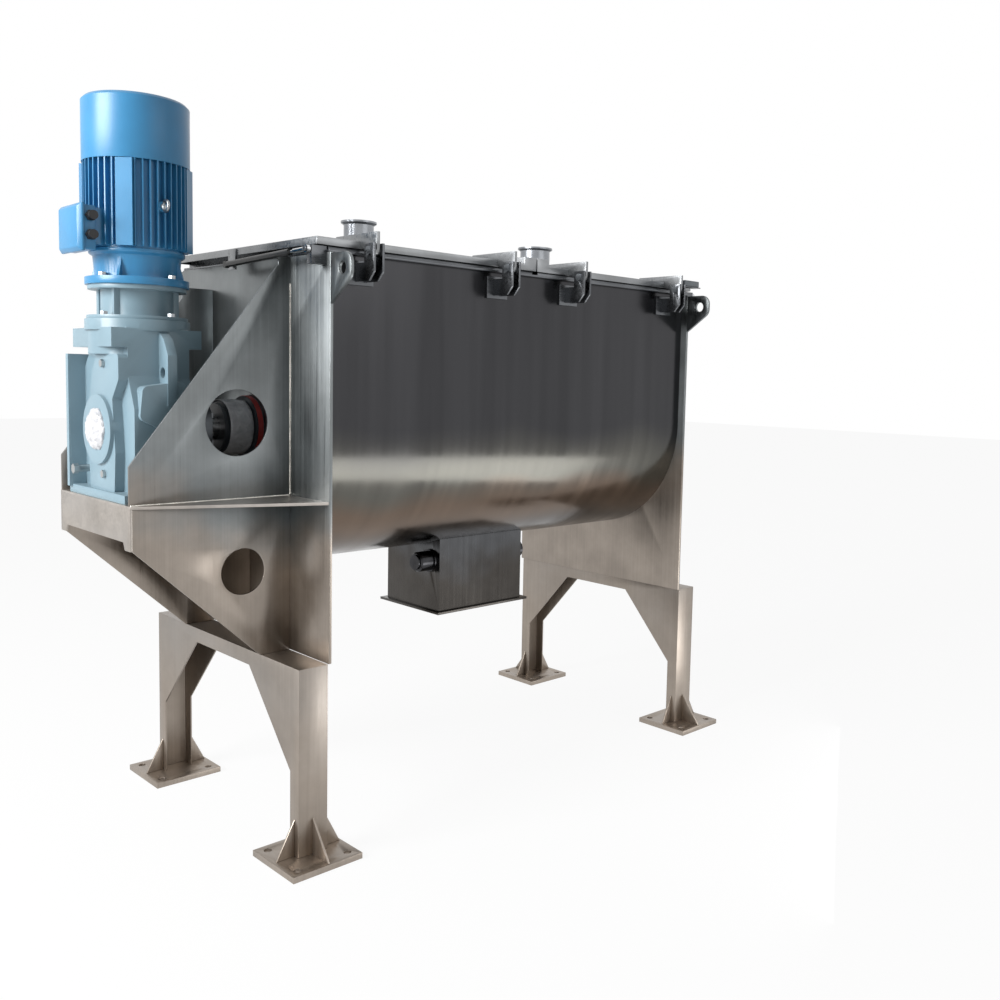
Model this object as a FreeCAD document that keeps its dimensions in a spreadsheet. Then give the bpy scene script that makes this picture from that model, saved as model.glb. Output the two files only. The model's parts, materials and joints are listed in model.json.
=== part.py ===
import FreeCAD, Part
import math
import os
import re

# Ribbon blender, drive end at -X, lids hinged on the -Y side.  Every size below is in millimetres.
# Heights are above the floor; distances along X are from the outer face of the drive end plate.
SIZES = {
    # frame
    "centre_offset": 718, "axis_height": 1400, "plate_half": 522, "plate_base": 645, "plate_head": 1980,
    "plate_thick": 12, "trough_length": 1860, "trough_radius": 490, "shell_thick": 6,
    "portal_depth": 108, "portal_wall": 6, "portal_half": 520, "strip_side": 466, "strip_head": 592,
    "haunch_foot": 298, "haunch_reach": 195, "foot_outer": 622, "foot_size": 256, "foot_thick": 20,
    "foot_back": 70, "foot_bolt_inset": 35, "foot_bolt_radius": 13, "rib_thick": 8, "rib_rise": 124,
    # drive shelf and its side plates
    "shelf_reach": 545, "shelf_head": 1180, "shelf_thick": 10, "shelf_front_half": 285, "apron_drop": 139,
    "side_plate_y": 280, "side_plate_thick": 8, "side_front_rise": 120, "side_head_x": 45,
    "side_head_z": 1951, "rear_side_x": 119, "rear_side_z": 1895, "lower_toe": 111,
    "upper_window_x": 192, "upper_window_z": 1428, "upper_window_radius": 108,
    "lower_window_x": 172, "lower_window_z": 937, "lower_window_radius": 77,
    # rim, lids and hinges
    "rim_thick": 8, "rim_half": 512, "rim_upstand": 25, "gasket_width": 14, "gasket_thick": 10,
    "lid_base": 2002, "lid_depth": 25, "lid_half": 500, "lid_over": 36, "lid_sheet": 4, "seam_x": 930,
    "seam_gap": 4, "ridge_width": 62, "ridge_rise": 26,
    "hinge_y": 573, "hinge_z": 1991, "hinge_first": 131, "hinge_third": 1109, "hinge_pitch": 600,
    "cheek_gap": 26, "cheek_thick": 8, "arm_thick": 12, "arm_rise": 25, "pin_radius": 8,
    "ear_reach": 115, "ear_thick": 12, "ear_hole_y": 588, "ear_hole_z": 1926, "ear_hole_radius": 20,
    "inlet_one_radius": 57.15, "inlet_two_radius": 66, "inlet_head": 2176, "inlet_wall": 3,
    "inlet_one_x": 458, "inlet_two_x": 1398,
    # discharge hopper and valve
    "hopper_start": 736, "hopper_end": 1181, "hopper_half": 175, "hopper_wall": 4, "hopper_base": 640,
    "hopper_lip": 22, "hopper_lip_thick": 10, "spindle_y": 118, "spindle_z": 850, "spindle_radius": 14,
    "outlet_start": 786, "outlet_end": 1131, "outlet_near": 106, "outlet_far": 136,
    # drive line
    "shaft_radius": 55, "journal_radius": 45, "bore_clearance": 0.05,
    "ribbon_radius": 478, "ribbon_width": 60, "ribbon_thick": 10, "ribbon_pitch": 864,
    "inner_radius": 290, "inner_width": 56, "ribbon_start": 36, "spoke_radius": 18,
    "gear_x": 394, "gear_front": 520, "gear_back": 292, "gear_foot_half": 225, "gear_head": 1751,
    "flange_radius": 160, "motor_base": 1860, "cowl_base": 2244, "cowl_head": 2445, "cowl_radius": 163,
    "fin_root_radius": 142, "fin_thick": 4, "box_face": 610, "box_half": 87, "box_base": 1952,
    "box_head": 2098, "rotor_radius": 21,
    # gas springs
    "strut_x": 62, "anchor_y": 485, "anchor_z": 1985, "stud_y": 45, "stud_z": 1968,
    "tube_radius": 11, "rod_radius": 5,
}

doc = FreeCAD.newDocument("ribbon_blender")
sheet = doc.addObject("Spreadsheet::Sheet", "Dims")
for row, (alias, size) in enumerate(SIZES.items(), start=1):
    sheet.set("A%d" % row, alias)
    sheet.set("B%d" % row, str(size))
    sheet.setAlias("B%d" % row, alias)
doc.recompute()

NODES = []                      # the finished sub-parts, in the order they are made
AXES = {"YZ": 0, "XZ": 1, "XY": 2}


def bound(text):
    """Write an expression with the sheet's name in front of each of its aliases."""
    return re.sub(r"[a-z_]+", lambda word: ("Dims." if word.group() in SIZES else "") + word.group(), str(text))


def value(text):
    return float(sheet.evalExpression(bound(text)))


def bind(item, prop, text):
    """Give a property an expression in the sheet's aliases."""
    item.setExpression(prop, bound(text))


def new(kind, name):
    return doc.addObject(kind, name)


def finish(item, label):
    """Name a finished sub-part and move it from the drive plate's datum to the machine's centre."""
    item.Label = label
    bind(item, "Placement.Base.x", "-centre_offset")
    NODES.append(item)
    return item


# ---------------------------------------------------------------- sketches and bodies

def sketch_on(body, plane, start):
    """A sketch on one of the body's own origin planes, moved along that plane's row axis to start."""
    support = next(f for f in body.Origin.OriginFeatures if f.Role == plane + "_Plane")
    sketch = body.newObject("Sketcher::SketchObject", "Sketch")
    sketch.AttachmentSupport = [(support, "")]
    sketch.MapMode = "FlatFace"
    bind(sketch, "AttachmentOffset.Base.z", "-(%s)" % start if plane == "XZ" else start)
    return sketch


def place_point(sketch, geometry, vertex, point):
    """Hold one vertex at a point whose two coordinates are expressions."""
    for kind, text in zip(("DistanceX", "DistanceY"), point):
        index = sketch.addConstraint(Sketcher.Constraint(kind, -1, 1, geometry, vertex, value(text)))
        sketch.setExpression("Constraints[%d]" % index, bound(text))


def add_outline(sketch, outline):
    """A closed run of straight lines through the given points."""
    corners = [FreeCAD.Vector(value(a), value(b), 0) for a, b in outline]
    first = sketch.GeometryCount
    for here, there in zip(corners, corners[1:] + corners[:1]):
        sketch.addGeometry(Part.LineSegment(here, there), False)
    for step, point in enumerate(outline):
        following = first + (step + 1) % len(outline)
        sketch.addConstraint(Sketcher.Constraint("Coincident", first + step, 2, following, 1))
        place_point(sketch, first + step, 1, point)


def add_circle(sketch, centre, radius):
    spot = FreeCAD.Vector(value(centre[0]), value(centre[1]), 0)
    index = sketch.addGeometry(Part.Circle(spot, FreeCAD.Vector(0, 0, 1), value(radius)), False)
    place_point(sketch, index, 3, centre)
    held = sketch.addConstraint(Sketcher.Constraint("Radius", index, value(radius)))
    sketch.setExpression("Constraints[%d]" % held, bound(radius))


def drawn(body, plane, start, outline=None, circles=()):
    sketch = sketch_on(body, plane, start)
    if outline:
        add_outline(sketch, outline)
    for centre, radius in circles:
        add_circle(sketch, centre, radius)
    return sketch


def pad(body, plane, start, depth, outline=None, circles=()):
    """Add material from start, going depth along the plane's row axis."""
    profile = drawn(body, plane, start, outline, circles)
    feature = body.newObject("PartDesign::Pad", "Pad")
    feature.Profile = profile
    bind(feature, "Length", depth)
    feature.Reversed = plane == "XZ"
    return feature


def pocket(body, plane, start, depth, outline=None, circles=()):
    """Cut from start, going depth along the plane's row axis."""
    profile = drawn(body, plane, start, outline, circles)
    feature = body.newObject("PartDesign::Pocket", "Pocket")
    feature.Profile = profile
    bind(feature, "Length", depth)
    feature.Reversed = plane != "XZ"
    return feature


def revolve(body, outline, plane="XZ", about="X_Axis"):
    """Turn an outline drawn on an origin plane about one of the body's own axes."""
    profile = drawn(body, plane, "0", outline)
    feature = body.newObject("PartDesign::Revolution", "Revolution")
    feature.Profile = profile
    axis = next(f for f in body.Origin.OriginFeatures if f.Role == about)
    feature.ReferenceAxis = (axis, [""])
    feature.Angle = 360
    return feature


def rectangle(low_a, low_b, high_a, high_b):
    return [(low_a, low_b), (high_a, low_b), (high_a, high_b), (low_a, high_b)]


def plate(name, plane, start, depth, outline=None, circles=()):
    """A flat plate with round holes, as a body of one pad."""
    body = new("PartDesign::Body", name)
    pad(body, plane, start, depth, outline, circles)
    return body


def round_edges(body, radius, chosen):
    """Fillet those edges of the body's last feature that the test picks out."""
    doc.recompute()
    base = body.Tip
    feature = body.newObject("PartDesign::Fillet", "Fillet")
    picked = ["Edge%d" % (i + 1) for i, edge in enumerate(base.Shape.Edges) if chosen(edge)]
    feature.Base = (base, picked)
    bind(feature, "Radius", radius)
    return feature


def runs_along(axis):
    """An edge test: straight, and parallel to one row axis."""
    def test(edge):
        if edge.Curve.TypeId != "Part::GeomLine":
            return False
        return abs(abs(edge.Curve.Direction[axis]) - 1) < 1e-6
    return test


# ---------------------------------------------------------------- primitives

TURN = {"X": FreeCAD.Rotation(FreeCAD.Vector(0, 1, 0), 90),
        "Y": FreeCAD.Rotation(FreeCAD.Vector(1, 0, 0), -90),
        "Z": FreeCAD.Rotation()}


def locate(item, place):
    for letter, text in zip("xyz", place):
        bind(item, "Placement.Base." + letter, text)


def box(place, size, name="Box"):
    item = new("Part::Box", name)
    for prop, text in zip(("Length", "Width", "Height"), size):
        bind(item, prop, text)
    locate(item, place)
    return item


def cylinder(place, along, radius, length, name="Cylinder"):
    item = new("Part::Cylinder", name)
    bind(item, "Radius", radius)
    bind(item, "Height", length)
    item.Placement = FreeCAD.Placement(FreeCAD.Vector(), TURN[along])
    locate(item, place)
    return item


def cone(place, along, radius, end_radius, length, name="Cone"):
    item = new("Part::Cone", name)
    bind(item, "Radius1", radius)
    bind(item, "Radius2", end_radius)
    bind(item, "Height", length)
    item.Placement = FreeCAD.Placement(FreeCAD.Vector(), TURN[along])
    locate(item, place)
    return item


def hexagon(place, along, radius, length):
    item = new("Part::Prism", "Hexagon")
    item.Polygon = 6
    bind(item, "Circumradius", radius)
    bind(item, "Height", length)
    item.Placement = FreeCAD.Placement(FreeCAD.Vector(), TURN[along])
    locate(item, place)
    return item


def fuse(items, name="Fuse"):
    if len(items) == 1:
        return items[0]
    item = new("Part::MultiFuse", name)
    item.Shapes = items
    item.Refine = True
    return item


def cut(base, tools, name="Cut"):
    item = new("Part::Cut", name)
    item.Base = base
    item.Tool = fuse(tools)
    return item


def group(items, name="Group"):
    """Separate solids that share one node."""
    item = new("Part::Compound", name)
    item.Links = items
    return item


def tube(place, along, radius, bore, length, name="Tube"):
    return cut(cylinder(place, along, radius, length), [cylinder(place, along, bore, length)], name)


import Sketcher  # noqa: E402  (FreeCAD's sketch constraints)

# Distances measured back from the far end plate are written the same way at both ends of the machine:
# END[0] maps a distance out from the drive plate, END[1] the same distance out from the far plate.
FAR = "trough_length"


# ---------------------------------------------------------------- trough and frame

def trough_shell():
    """U-shaped trough: two flat sides on a half cylinder, with the curved outlet cut in its floor."""
    inside = "(trough_radius - shell_thick)"
    length = "trough_length - 2*plate_thick"
    outer = fuse([cylinder(("plate_thick", "0", "axis_height"), "X", "trough_radius", length),
                  box(("plate_thick", "-trough_radius", "axis_height"),
                      (length, "2*trough_radius", "plate_head - axis_height"))])
    hollow = fuse([cylinder(("plate_thick", "0", "axis_height"), "X", inside, length),
                   box(("plate_thick", "-" + inside, "axis_height"),
                       (length, "2*" + inside, "plate_head - axis_height"))])
    outlet = box(("outlet_start", "-outlet_near", "axis_height - trough_radius - 20"),
                 ("outlet_end - outlet_start", "outlet_near + outlet_far", "200"))
    finish(cut(outer, [hollow, outlet], "TroughShell"), "trough_shell")


def end_plates():
    outline = rectangle("-plate_half", "plate_base", "plate_half", "plate_head")
    bore = [(("0", "axis_height"), "journal_radius + 15")]
    for start, label in (("0", "drive_end_plate"), ("trough_length - plate_thick", "far_end_plate")):
        finish(plate("EndPlate", "YZ", start, "plate_thick", outline, bore), label)


def rim_frame():
    """Flange round the trough's mouth, with an upstand under each lid and a bridge between the lids."""
    body = new("PartDesign::Body", "RimFrame")
    length = "trough_length"
    pad(body, "XY", "plate_head", "rim_thick", rectangle("0", "-rim_half", length, "rim_half"))
    inner = "(trough_radius - shell_thick)"
    edge = "plate_thick"
    pad(body, "XY", "plate_head + rim_thick", "rim_upstand",
        rectangle(edge, "-%s - 6" % inner, length + " - " + edge, inner + " + 6"))
    for start, end in (("18", "seam_x - 22"), ("seam_x + 22", "trough_length - 18")):
        pocket(body, "XY", "plate_head", "rim_thick + rim_upstand",
               rectangle(start, "-" + inner, end, inner))
    pocket(body, "XY", "plate_head + rim_thick", "rim_upstand",
           rectangle("seam_x - 14", "-%s - 6" % inner, "seam_x + 14", inner + " + 6"))
    finish(body, "rim_frame")


def leg_portal(start, label):
    """Bent-plate portal: a box with its inside open below and its window cut through both faces."""
    body = new("PartDesign::Body", "LegPortal")
    base, head = "foot_thick", "plate_base"
    pad(body, "YZ", start, "portal_depth", rectangle("-portal_half", base, "portal_half", head))
    pocket(body, "YZ", start, "portal_depth",
           [("-strip_side", base), ("-strip_side", "haunch_foot"), ("-haunch_reach", "strip_head"),
            ("haunch_reach", "strip_head"), ("strip_side", "haunch_foot"), ("strip_side", base)])
    pocket(body, "YZ", start + " + portal_wall", "portal_depth - 2*portal_wall",
           rectangle("-portal_half + portal_wall", base, "portal_half - portal_wall", head + " - portal_wall"))
    finish(body, label)


def foot(low_x, side):
    """One floor plate with four bolt holes; side is 1 or -1 along Y."""
    sign = "" if side > 0 else "-"
    inner, outer = sign + "(foot_outer - foot_size)", sign + "foot_outer"
    near, away = sorted((inner, outer), key=value)
    holes = [((low_x + " + " + across, near + " + " + along), "foot_bolt_radius")
             for across in ("foot_bolt_inset", "foot_size - foot_bolt_inset")
             for along in ("foot_bolt_inset", "foot_size - foot_bolt_inset")]
    return plate("Foot", "XY", "0", "foot_thick",
                 rectangle(low_x, near, low_x + " + foot_size", away), holes)


def foot_ribs(portal_start, low_x, side):
    """Four triangular ribs that stand on a foot round its column."""
    sign = "" if side > 0 else "-"
    top = "foot_thick + rib_rise"
    portal_end = "(%s + portal_depth)" % portal_start
    middle = sign + "(portal_half + strip_side)/2"
    across = "(%s + portal_depth/2)" % portal_start
    ribs = []
    for face, toe in ((portal_start, "%s + 12" % low_x), (portal_end, "%s + foot_size - 6" % low_x)):
        if abs(value(face) - value(toe)) > 30:
            ribs.append(plate("Rib", "XZ", "%s - rib_thick/2" % middle, "rib_thick",
                              [(face, "foot_thick"), (toe, "foot_thick"), (face, top)]))
    outer = sign + "portal_half"
    ribs.append(plate("Rib", "YZ", "%s - rib_thick/2" % across, "rib_thick",
                      [(outer, "foot_thick"), (sign + "(foot_outer - 5)", "foot_thick"), (outer, top)]))
    return ribs


def feet():
    plates, ribs = [], []
    for portal_start, low_x in (("-portal_depth", "-foot_size + foot_back"),
                                (FAR, "trough_length - foot_back")):
        for side in (-1, 1):
            plates.append(foot(low_x, side))
            ribs.extend(foot_ribs("(%s)" % portal_start, "(%s)" % low_x, side))
    finish(group(plates, "Feet"), "foot_plates")
    finish(group(ribs, "FootRibs"), "foot_ribs")


def drive_shelf():
    """Shelf that carries the gear unit, wide at the end plate, with a notched apron across its front."""
    front = "-shelf_reach"
    body = new("PartDesign::Body", "Shelf")
    pad(body, "XY", "shelf_head - shelf_thick", "shelf_thick",
        [("0", "-portal_half"), ("0", "portal_half"), (front, "shelf_front_half"), (front, "-shelf_front_half")])
    low = "shelf_head - apron_drop"
    tab = "shelf_front_half - 42"
    pad(body, "YZ", front, "rib_thick",
        [("-shelf_front_half", low), ("-(%s)" % tab, low), ("-(%s) + 10" % tab, low + " + 24"),
         (tab + " - 10", low + " + 24"), (tab, low), ("shelf_front_half", low),
         ("shelf_front_half", "shelf_head"), ("-shelf_front_half", "shelf_head")])
    finish(body, "drive_shelf")


def side_plates():
    """Gusset plates of the drive shelf: tall ones above it and triangular ones below it."""
    front, head = "-shelf_reach", "shelf_head"
    shoulder = "shelf_head + side_front_rise"
    window = [(("-upper_window_x", "upper_window_z"), "upper_window_radius")]
    near = [("0", head), (front, head), (front, shoulder), ("-side_head_x", "side_head_z"),
            ("-side_head_x", "plate_head"), ("0", "plate_head")]
    slope = "(side_head_z - shelf_head - side_front_rise)/(shelf_reach - side_head_x)"
    knee = "side_head_z - (rear_side_x - side_head_x)*" + slope
    rear = [("0", head), (front, head), (front, shoulder), ("-rear_side_x", knee),
            ("-rear_side_x", "rear_side_z"), ("0", "rear_side_z")]
    thick = "side_plate_thick"
    upper = [plate("NearPlate", "XZ", "-side_plate_y", thick, near, window),
             plate("RearPlate", "XZ", "side_plate_y - side_plate_thick", thick, rear, window)]
    finish(group(upper, "UpperPlates"), "upper_side_plates")
    under = "shelf_head - shelf_thick"
    inside = "-shelf_reach + rib_thick"
    lower = [("0", under), (inside, under), (inside, "shelf_head - apron_drop"),
             ("-lower_toe", "plate_base"), ("0", "plate_base")]
    opening = [(("-lower_window_x", "lower_window_z"), "lower_window_radius")]
    beneath = [plate("LowerPlate", "XZ", start, thick, lower, opening)
               for start in ("-side_plate_y", "side_plate_y - side_plate_thick")]
    beneath.append(plate("ShelfWeb", "XZ", "-rib_thick/2", "rib_thick",
                         [("0", under), (inside, under), (inside, under + " - 90"), ("0", "plate_base + 120")]))
    finish(group(beneath, "LowerPlates"), "lower_side_plates")


def lifting_ears():
    """Teardrop lugs with a shackle hole on both edges of both end plates."""
    ears = []
    for start in ("0", "trough_length - ear_thick"):
        for sign in ("-", ""):
            tip = sign + "(plate_half + ear_reach)"
            edge = sign + "plate_half"
            top, low = "ear_hole_z + 50", "ear_hole_z - 110"
            body = plate("Ear", "YZ", start, "ear_thick",
                         [(edge, low), (tip, "ear_hole_z - 30"), (tip, top), (edge, top)],
                         [((sign + "ear_hole_y", "ear_hole_z"), "ear_hole_radius")])
            reach = value(tip)
            round_edges(body, "38", lambda edge, reach=reach: runs_along(0)(edge)
                        and abs(edge.Vertexes[0].Y - reach) < 1)
            ears.append(body)
    finish(group(ears, "LiftingEars"), "lifting_ears")


# ---------------------------------------------------------------- lids and hinges

HINGES = [base + step for base in ("hinge_first", "hinge_third") for step in ("", " + hinge_pitch")]


def hinge_lugs():
    """Goose-neck cheeks in pairs, welded to a pad on the trough's side."""
    lugs = []
    outline = [("-trough_radius - rib_thick", "1895"), ("-hinge_y", "1895"), ("-hinge_y - 27", "1925"),
               ("-hinge_y - 27", "hinge_z + 24"), ("-hinge_y + 27", "hinge_z + 24"),
               ("-hinge_y + 27", "1955"), ("-trough_radius - rib_thick", "1955")]
    bore = [(("-hinge_y", "hinge_z"), "pin_radius")]
    for middle in HINGES:
        for start in ("-cheek_gap/2 - cheek_thick", "cheek_gap/2"):
            lugs.append(plate("Cheek", "YZ", middle + " + " + start, "cheek_thick", outline, bore))
        lugs.append(box((middle + " - 50", "-trough_radius - rib_thick", "1885"),
                        ("100", "rib_thick", "80"), "Pad"))
    finish(group(lugs, "HingeLugs"), "hinge_lugs")
    pins = []
    for middle in HINGES:
        reach = "cheek_gap/2 + cheek_thick"
        start = "%s - (%s)" % (middle, reach)
        shank = cylinder((start, "-hinge_y", "hinge_z"), "X", "pin_radius", "2*(%s)" % reach)
        heads = [cylinder((edge, "-hinge_y", "hinge_z"), "X", "pin_radius + 6", "5")
                 for edge in (start + " - 5", "%s + %s" % (middle, reach))]
        pins.append(fuse([shank] + heads, "HingePin"))
    finish(group(pins, "HingePins"), "hinge_pins")


def lid(low, high, number, bore_x, bore_radius):
    """Pressed lid: a tray upside down, with a ridge along the seam and a hole for its inlet."""
    body = new("PartDesign::Body", "Lid")
    top = "lid_base + lid_depth"
    pad(body, "XY", "lid_base", "lid_depth", rectangle(low, "-lid_half", high, "lid_half"))
    pocket(body, "XY", "lid_base", "lid_depth - lid_sheet",
           rectangle(low + " + lid_sheet", "-lid_half + lid_sheet", high + " - lid_sheet", "lid_half - lid_sheet"))
    ridge = ("seam_x - seam_gap/2 - ridge_width", "seam_x - seam_gap/2")
    if number == 2:
        ridge = ("seam_x + seam_gap/2", "seam_x + seam_gap/2 + ridge_width")
    end = "-lid_half"
    pad(body, "XY", top, "ridge_rise", rectangle(ridge[0], end, ridge[1], "lid_half"))
    pocket(body, "XY", "lid_base", "2*lid_depth + ridge_rise", None, [((bore_x, "0"), bore_radius)])
    finish(body, "lid_%d" % number)


def lid_arms(middles, number):
    """Flat bars on edge along the lid, each ending in the boss that turns on the hinge pin."""
    arms = []
    top = "lid_base + lid_depth"
    for middle in middles:
        bar = plate("Arm", "YZ", middle + " - arm_thick/2", "arm_thick",
                    [("-340", top), ("-lid_half", top), ("-lid_half", "lid_base + 2"),
                     ("-hinge_y + 20", "hinge_z - 4"), ("-hinge_y - 14", "hinge_z - 8"),
                     ("-hinge_y - 22", "hinge_z + 6"), ("-hinge_y - 22", top + " + arm_rise"),
                     ("-360", top + " + arm_rise")])
        boss = cylinder((middle + " - cheek_gap/2 + 1", "-hinge_y", "hinge_z"), "X",
                        "pin_radius + 10", "cheek_gap - 2")
        bore = cylinder((middle + " - cheek_gap/2", "-hinge_y", "hinge_z"), "X",
                        "pin_radius + bore_clearance", "cheek_gap")
        arms.append(cut(fuse([bar, boss]), [bore], "LidArm"))
    finish(group(arms + [stud_bracket(number)], "LidBrackets"), "lid_%d_brackets" % number)


def stud_bracket(number):
    """Strap that hangs from the lid's end edge and carries the gas spring's ball stud."""
    face = "-lid_over - 6" if number == 1 else "trough_length + lid_over"
    strap = box((face, "stud_y - 25", "stud_z - 16"), ("6", "50", "lid_base + lid_depth - stud_z + 12"))
    pin_start = "-lid_over - 6 - 8" if number == 1 else "trough_length + lid_over + 6"
    stud = cylinder((pin_start, "stud_y", "stud_z"), "X", "5", "8")
    return fuse([strap, stud], "StudBracket")


def inlet(number, middle, radius):
    """Inlet stub with a ferrule at its mouth, open right through."""
    base = "lid_base + lid_depth - lid_sheet - 6"
    body = new("PartDesign::Body", "Inlet")
    wall = "%s - inlet_wall" % radius
    revolve(body, [(radius, base), (radius, "inlet_head - 14"), (radius + " + 11", "inlet_head - 7"),
                   (radius + " + 11", "inlet_head"), (wall, "inlet_head"), (wall, base)],
            "XZ", "Z_Axis")
    holder = group([body], "InletGroup")
    bind(body, "Placement.Base.x", middle)
    finish(holder, "inlet_%d" % number)


def lid_trim(number, low, high):
    """Gasket and front handle of one lid."""
    inner = "(trough_radius - shell_thick)"
    start, end = ("12", "seam_x - 16") if number == 1 else ("seam_x + 16", "trough_length - 12")
    ring = new("PartDesign::Body", "Gasket")
    half = inner + " + 6"
    pad(ring, "XY", "plate_head + rim_thick + rim_upstand", "gasket_thick",
        rectangle(start, "-(%s)" % half, end, half))
    pocket(ring, "XY", "plate_head + rim_thick + rim_upstand", "gasket_thick",
           rectangle(start + " + gasket_width", "-(%s) + gasket_width" % half,
                     end + " - gasket_width", half + " - gasket_width"))
    finish(ring, "lid_%d_gasket" % number)
    middle = "(%s + %s)/2" % (low, high)
    grip = cylinder((middle + " - 118", "lid_half + 45", "lid_base + 13"), "X", "9", "236")
    posts = [cylinder(("%s %s" % (middle, offset), "lid_half", "lid_base + 13"), "Y", "7", "45")
             for offset in ("- 101", "+ 101")]
    finish(fuse([grip] + posts, "LidHandle"), "lid_%d_handle" % number)


def lids():
    stubs = (("inlet_one_x", "inlet_one_radius"), ("inlet_two_x", "inlet_two_radius"))
    ends = (("-lid_over", "seam_x - seam_gap/2"), ("seam_x + seam_gap/2", "trough_length + lid_over"))
    for number, (low, high) in enumerate(ends, start=1):
        middle, radius = stubs[number - 1]
        lid(low, high, number, middle, radius)
        lid_arms(HINGES[2 * number - 2:2 * number], number)
        inlet(number, middle, radius)
        lid_trim(number, "(%s)" % low, "(%s)" % high)


# ---------------------------------------------------------------- gas springs

def gas_springs():
    """Struts that hold the open lids: the rod pivots on the end plate, the tube slides on the rod."""
    run = math.hypot(value("stud_y + anchor_y"), value("stud_z - anchor_z"))
    tilt = math.degrees(math.atan2(value("stud_z - anchor_z"), value("stud_y + anchor_y")))
    turn = FreeCAD.Rotation(FreeCAD.Vector(1, 0, 0), tilt)
    anchors = []
    for number, middle in ((1, "-strut_x"), (2, "trough_length + strut_x")):
        origin = FreeCAD.Vector(value(middle), -value("anchor_y"), value("anchor_z"))
        along = FreeCAD.Vector(0, 1, 0)
        rod_r, tube_r = value("rod_radius"), value("tube_radius")
        eye = Part.makeCylinder(12, 12, FreeCAD.Vector(-6, 0, 0), FreeCAD.Vector(1, 0, 0))
        neck = Part.makeCylinder(8, 70, FreeCAD.Vector(0, 8, 0), along)
        rod = Part.makeCylinder(rod_r, 330, FreeCAD.Vector(0, 70, 0), along)
        hole = Part.makeCylinder(5 + value("bore_clearance"), 12, FreeCAD.Vector(-6, 0, 0),
                                 FreeCAD.Vector(1, 0, 0))
        rod_part = new("Part::Feature", "SpringRod")
        rod_part.Shape = eye.fuse([neck, rod]).cut(hole).removeSplitter()
        gap = 105
        barrel = Part.makeCylinder(tube_r, run - gap - 14, FreeCAD.Vector(0, gap, 0), along)
        bore = Part.makeCylinder(rod_r + value("bore_clearance"), 360, FreeCAD.Vector(0, gap, 0), along)
        socket = Part.makeCylinder(12, 16, FreeCAD.Vector(-8, run, 0), FreeCAD.Vector(1, 0, 0))
        neck_out = Part.makeCylinder(7, 20, FreeCAD.Vector(0, run - 26, 0), along)
        tube_part = new("Part::Feature", "SpringTube")
        tube_part.Shape = barrel.fuse([socket, neck_out]).cut(bore).removeSplitter()
        for item, label in ((rod_part, "gas_spring_%d_rod" % number), (tube_part, "gas_spring_%d_tube" % number)):
            item.Placement = FreeCAD.Placement(origin, turn)
            holder = group([item], "Spring")
            finish(holder, label)
        if number == 1:
            post_x, pin_x = "-strut_x + 6 + 2", "-strut_x - 9"
            post_len, pin_len = "strut_x - 8", "17"
        else:
            post_x, pin_x = "trough_length", "trough_length + strut_x - 8"
            post_len, pin_len = "strut_x - 8", "17"
        post = box((post_x, "-anchor_y - 14", "anchor_z - 45"), (post_len, "28", "58"))
        pin = cylinder((pin_x, "-anchor_y", "anchor_z"), "X", "5", pin_len)
        cap_x = "-strut_x - 12" if number == 1 else "trough_length + strut_x + 9"
        cap = cylinder((cap_x, "-anchor_y", "anchor_z"), "X", "9", "3")
        anchors.append(fuse([post, pin, cap], "Anchor"))
    finish(group(anchors, "Anchors"), "gas_spring_anchors")


# ---------------------------------------------------------------- discharge

def discharge_hopper():
    """Rectangular outlet spout with a bolting lip at its foot, trimmed to the trough's curve."""
    length, width = "hopper_end - hopper_start", "2*hopper_half"
    block = box(("hopper_start", "-hopper_half", "hopper_base"), (length, width, "310"))
    lip = box(("hopper_start - hopper_lip", "-hopper_half - hopper_lip", "hopper_base"),
              (length + " + 2*hopper_lip", width + " + 2*hopper_lip", "hopper_lip_thick"))
    inside = box(("hopper_start + hopper_wall", "-hopper_half + hopper_wall", "hopper_base"),
                 (length + " - 2*hopper_wall", width + " - 2*hopper_wall", "310"))
    trough = cylinder(("0", "0", "axis_height"), "X", "trough_radius", "trough_length")
    bore = cylinder(("hopper_start", "-spindle_y", "spindle_z"), "X", "spindle_radius + bore_clearance", length)
    finish(cut(fuse([block, lip]), [inside, trough, bore], "Hopper"), "discharge_hopper")


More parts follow.
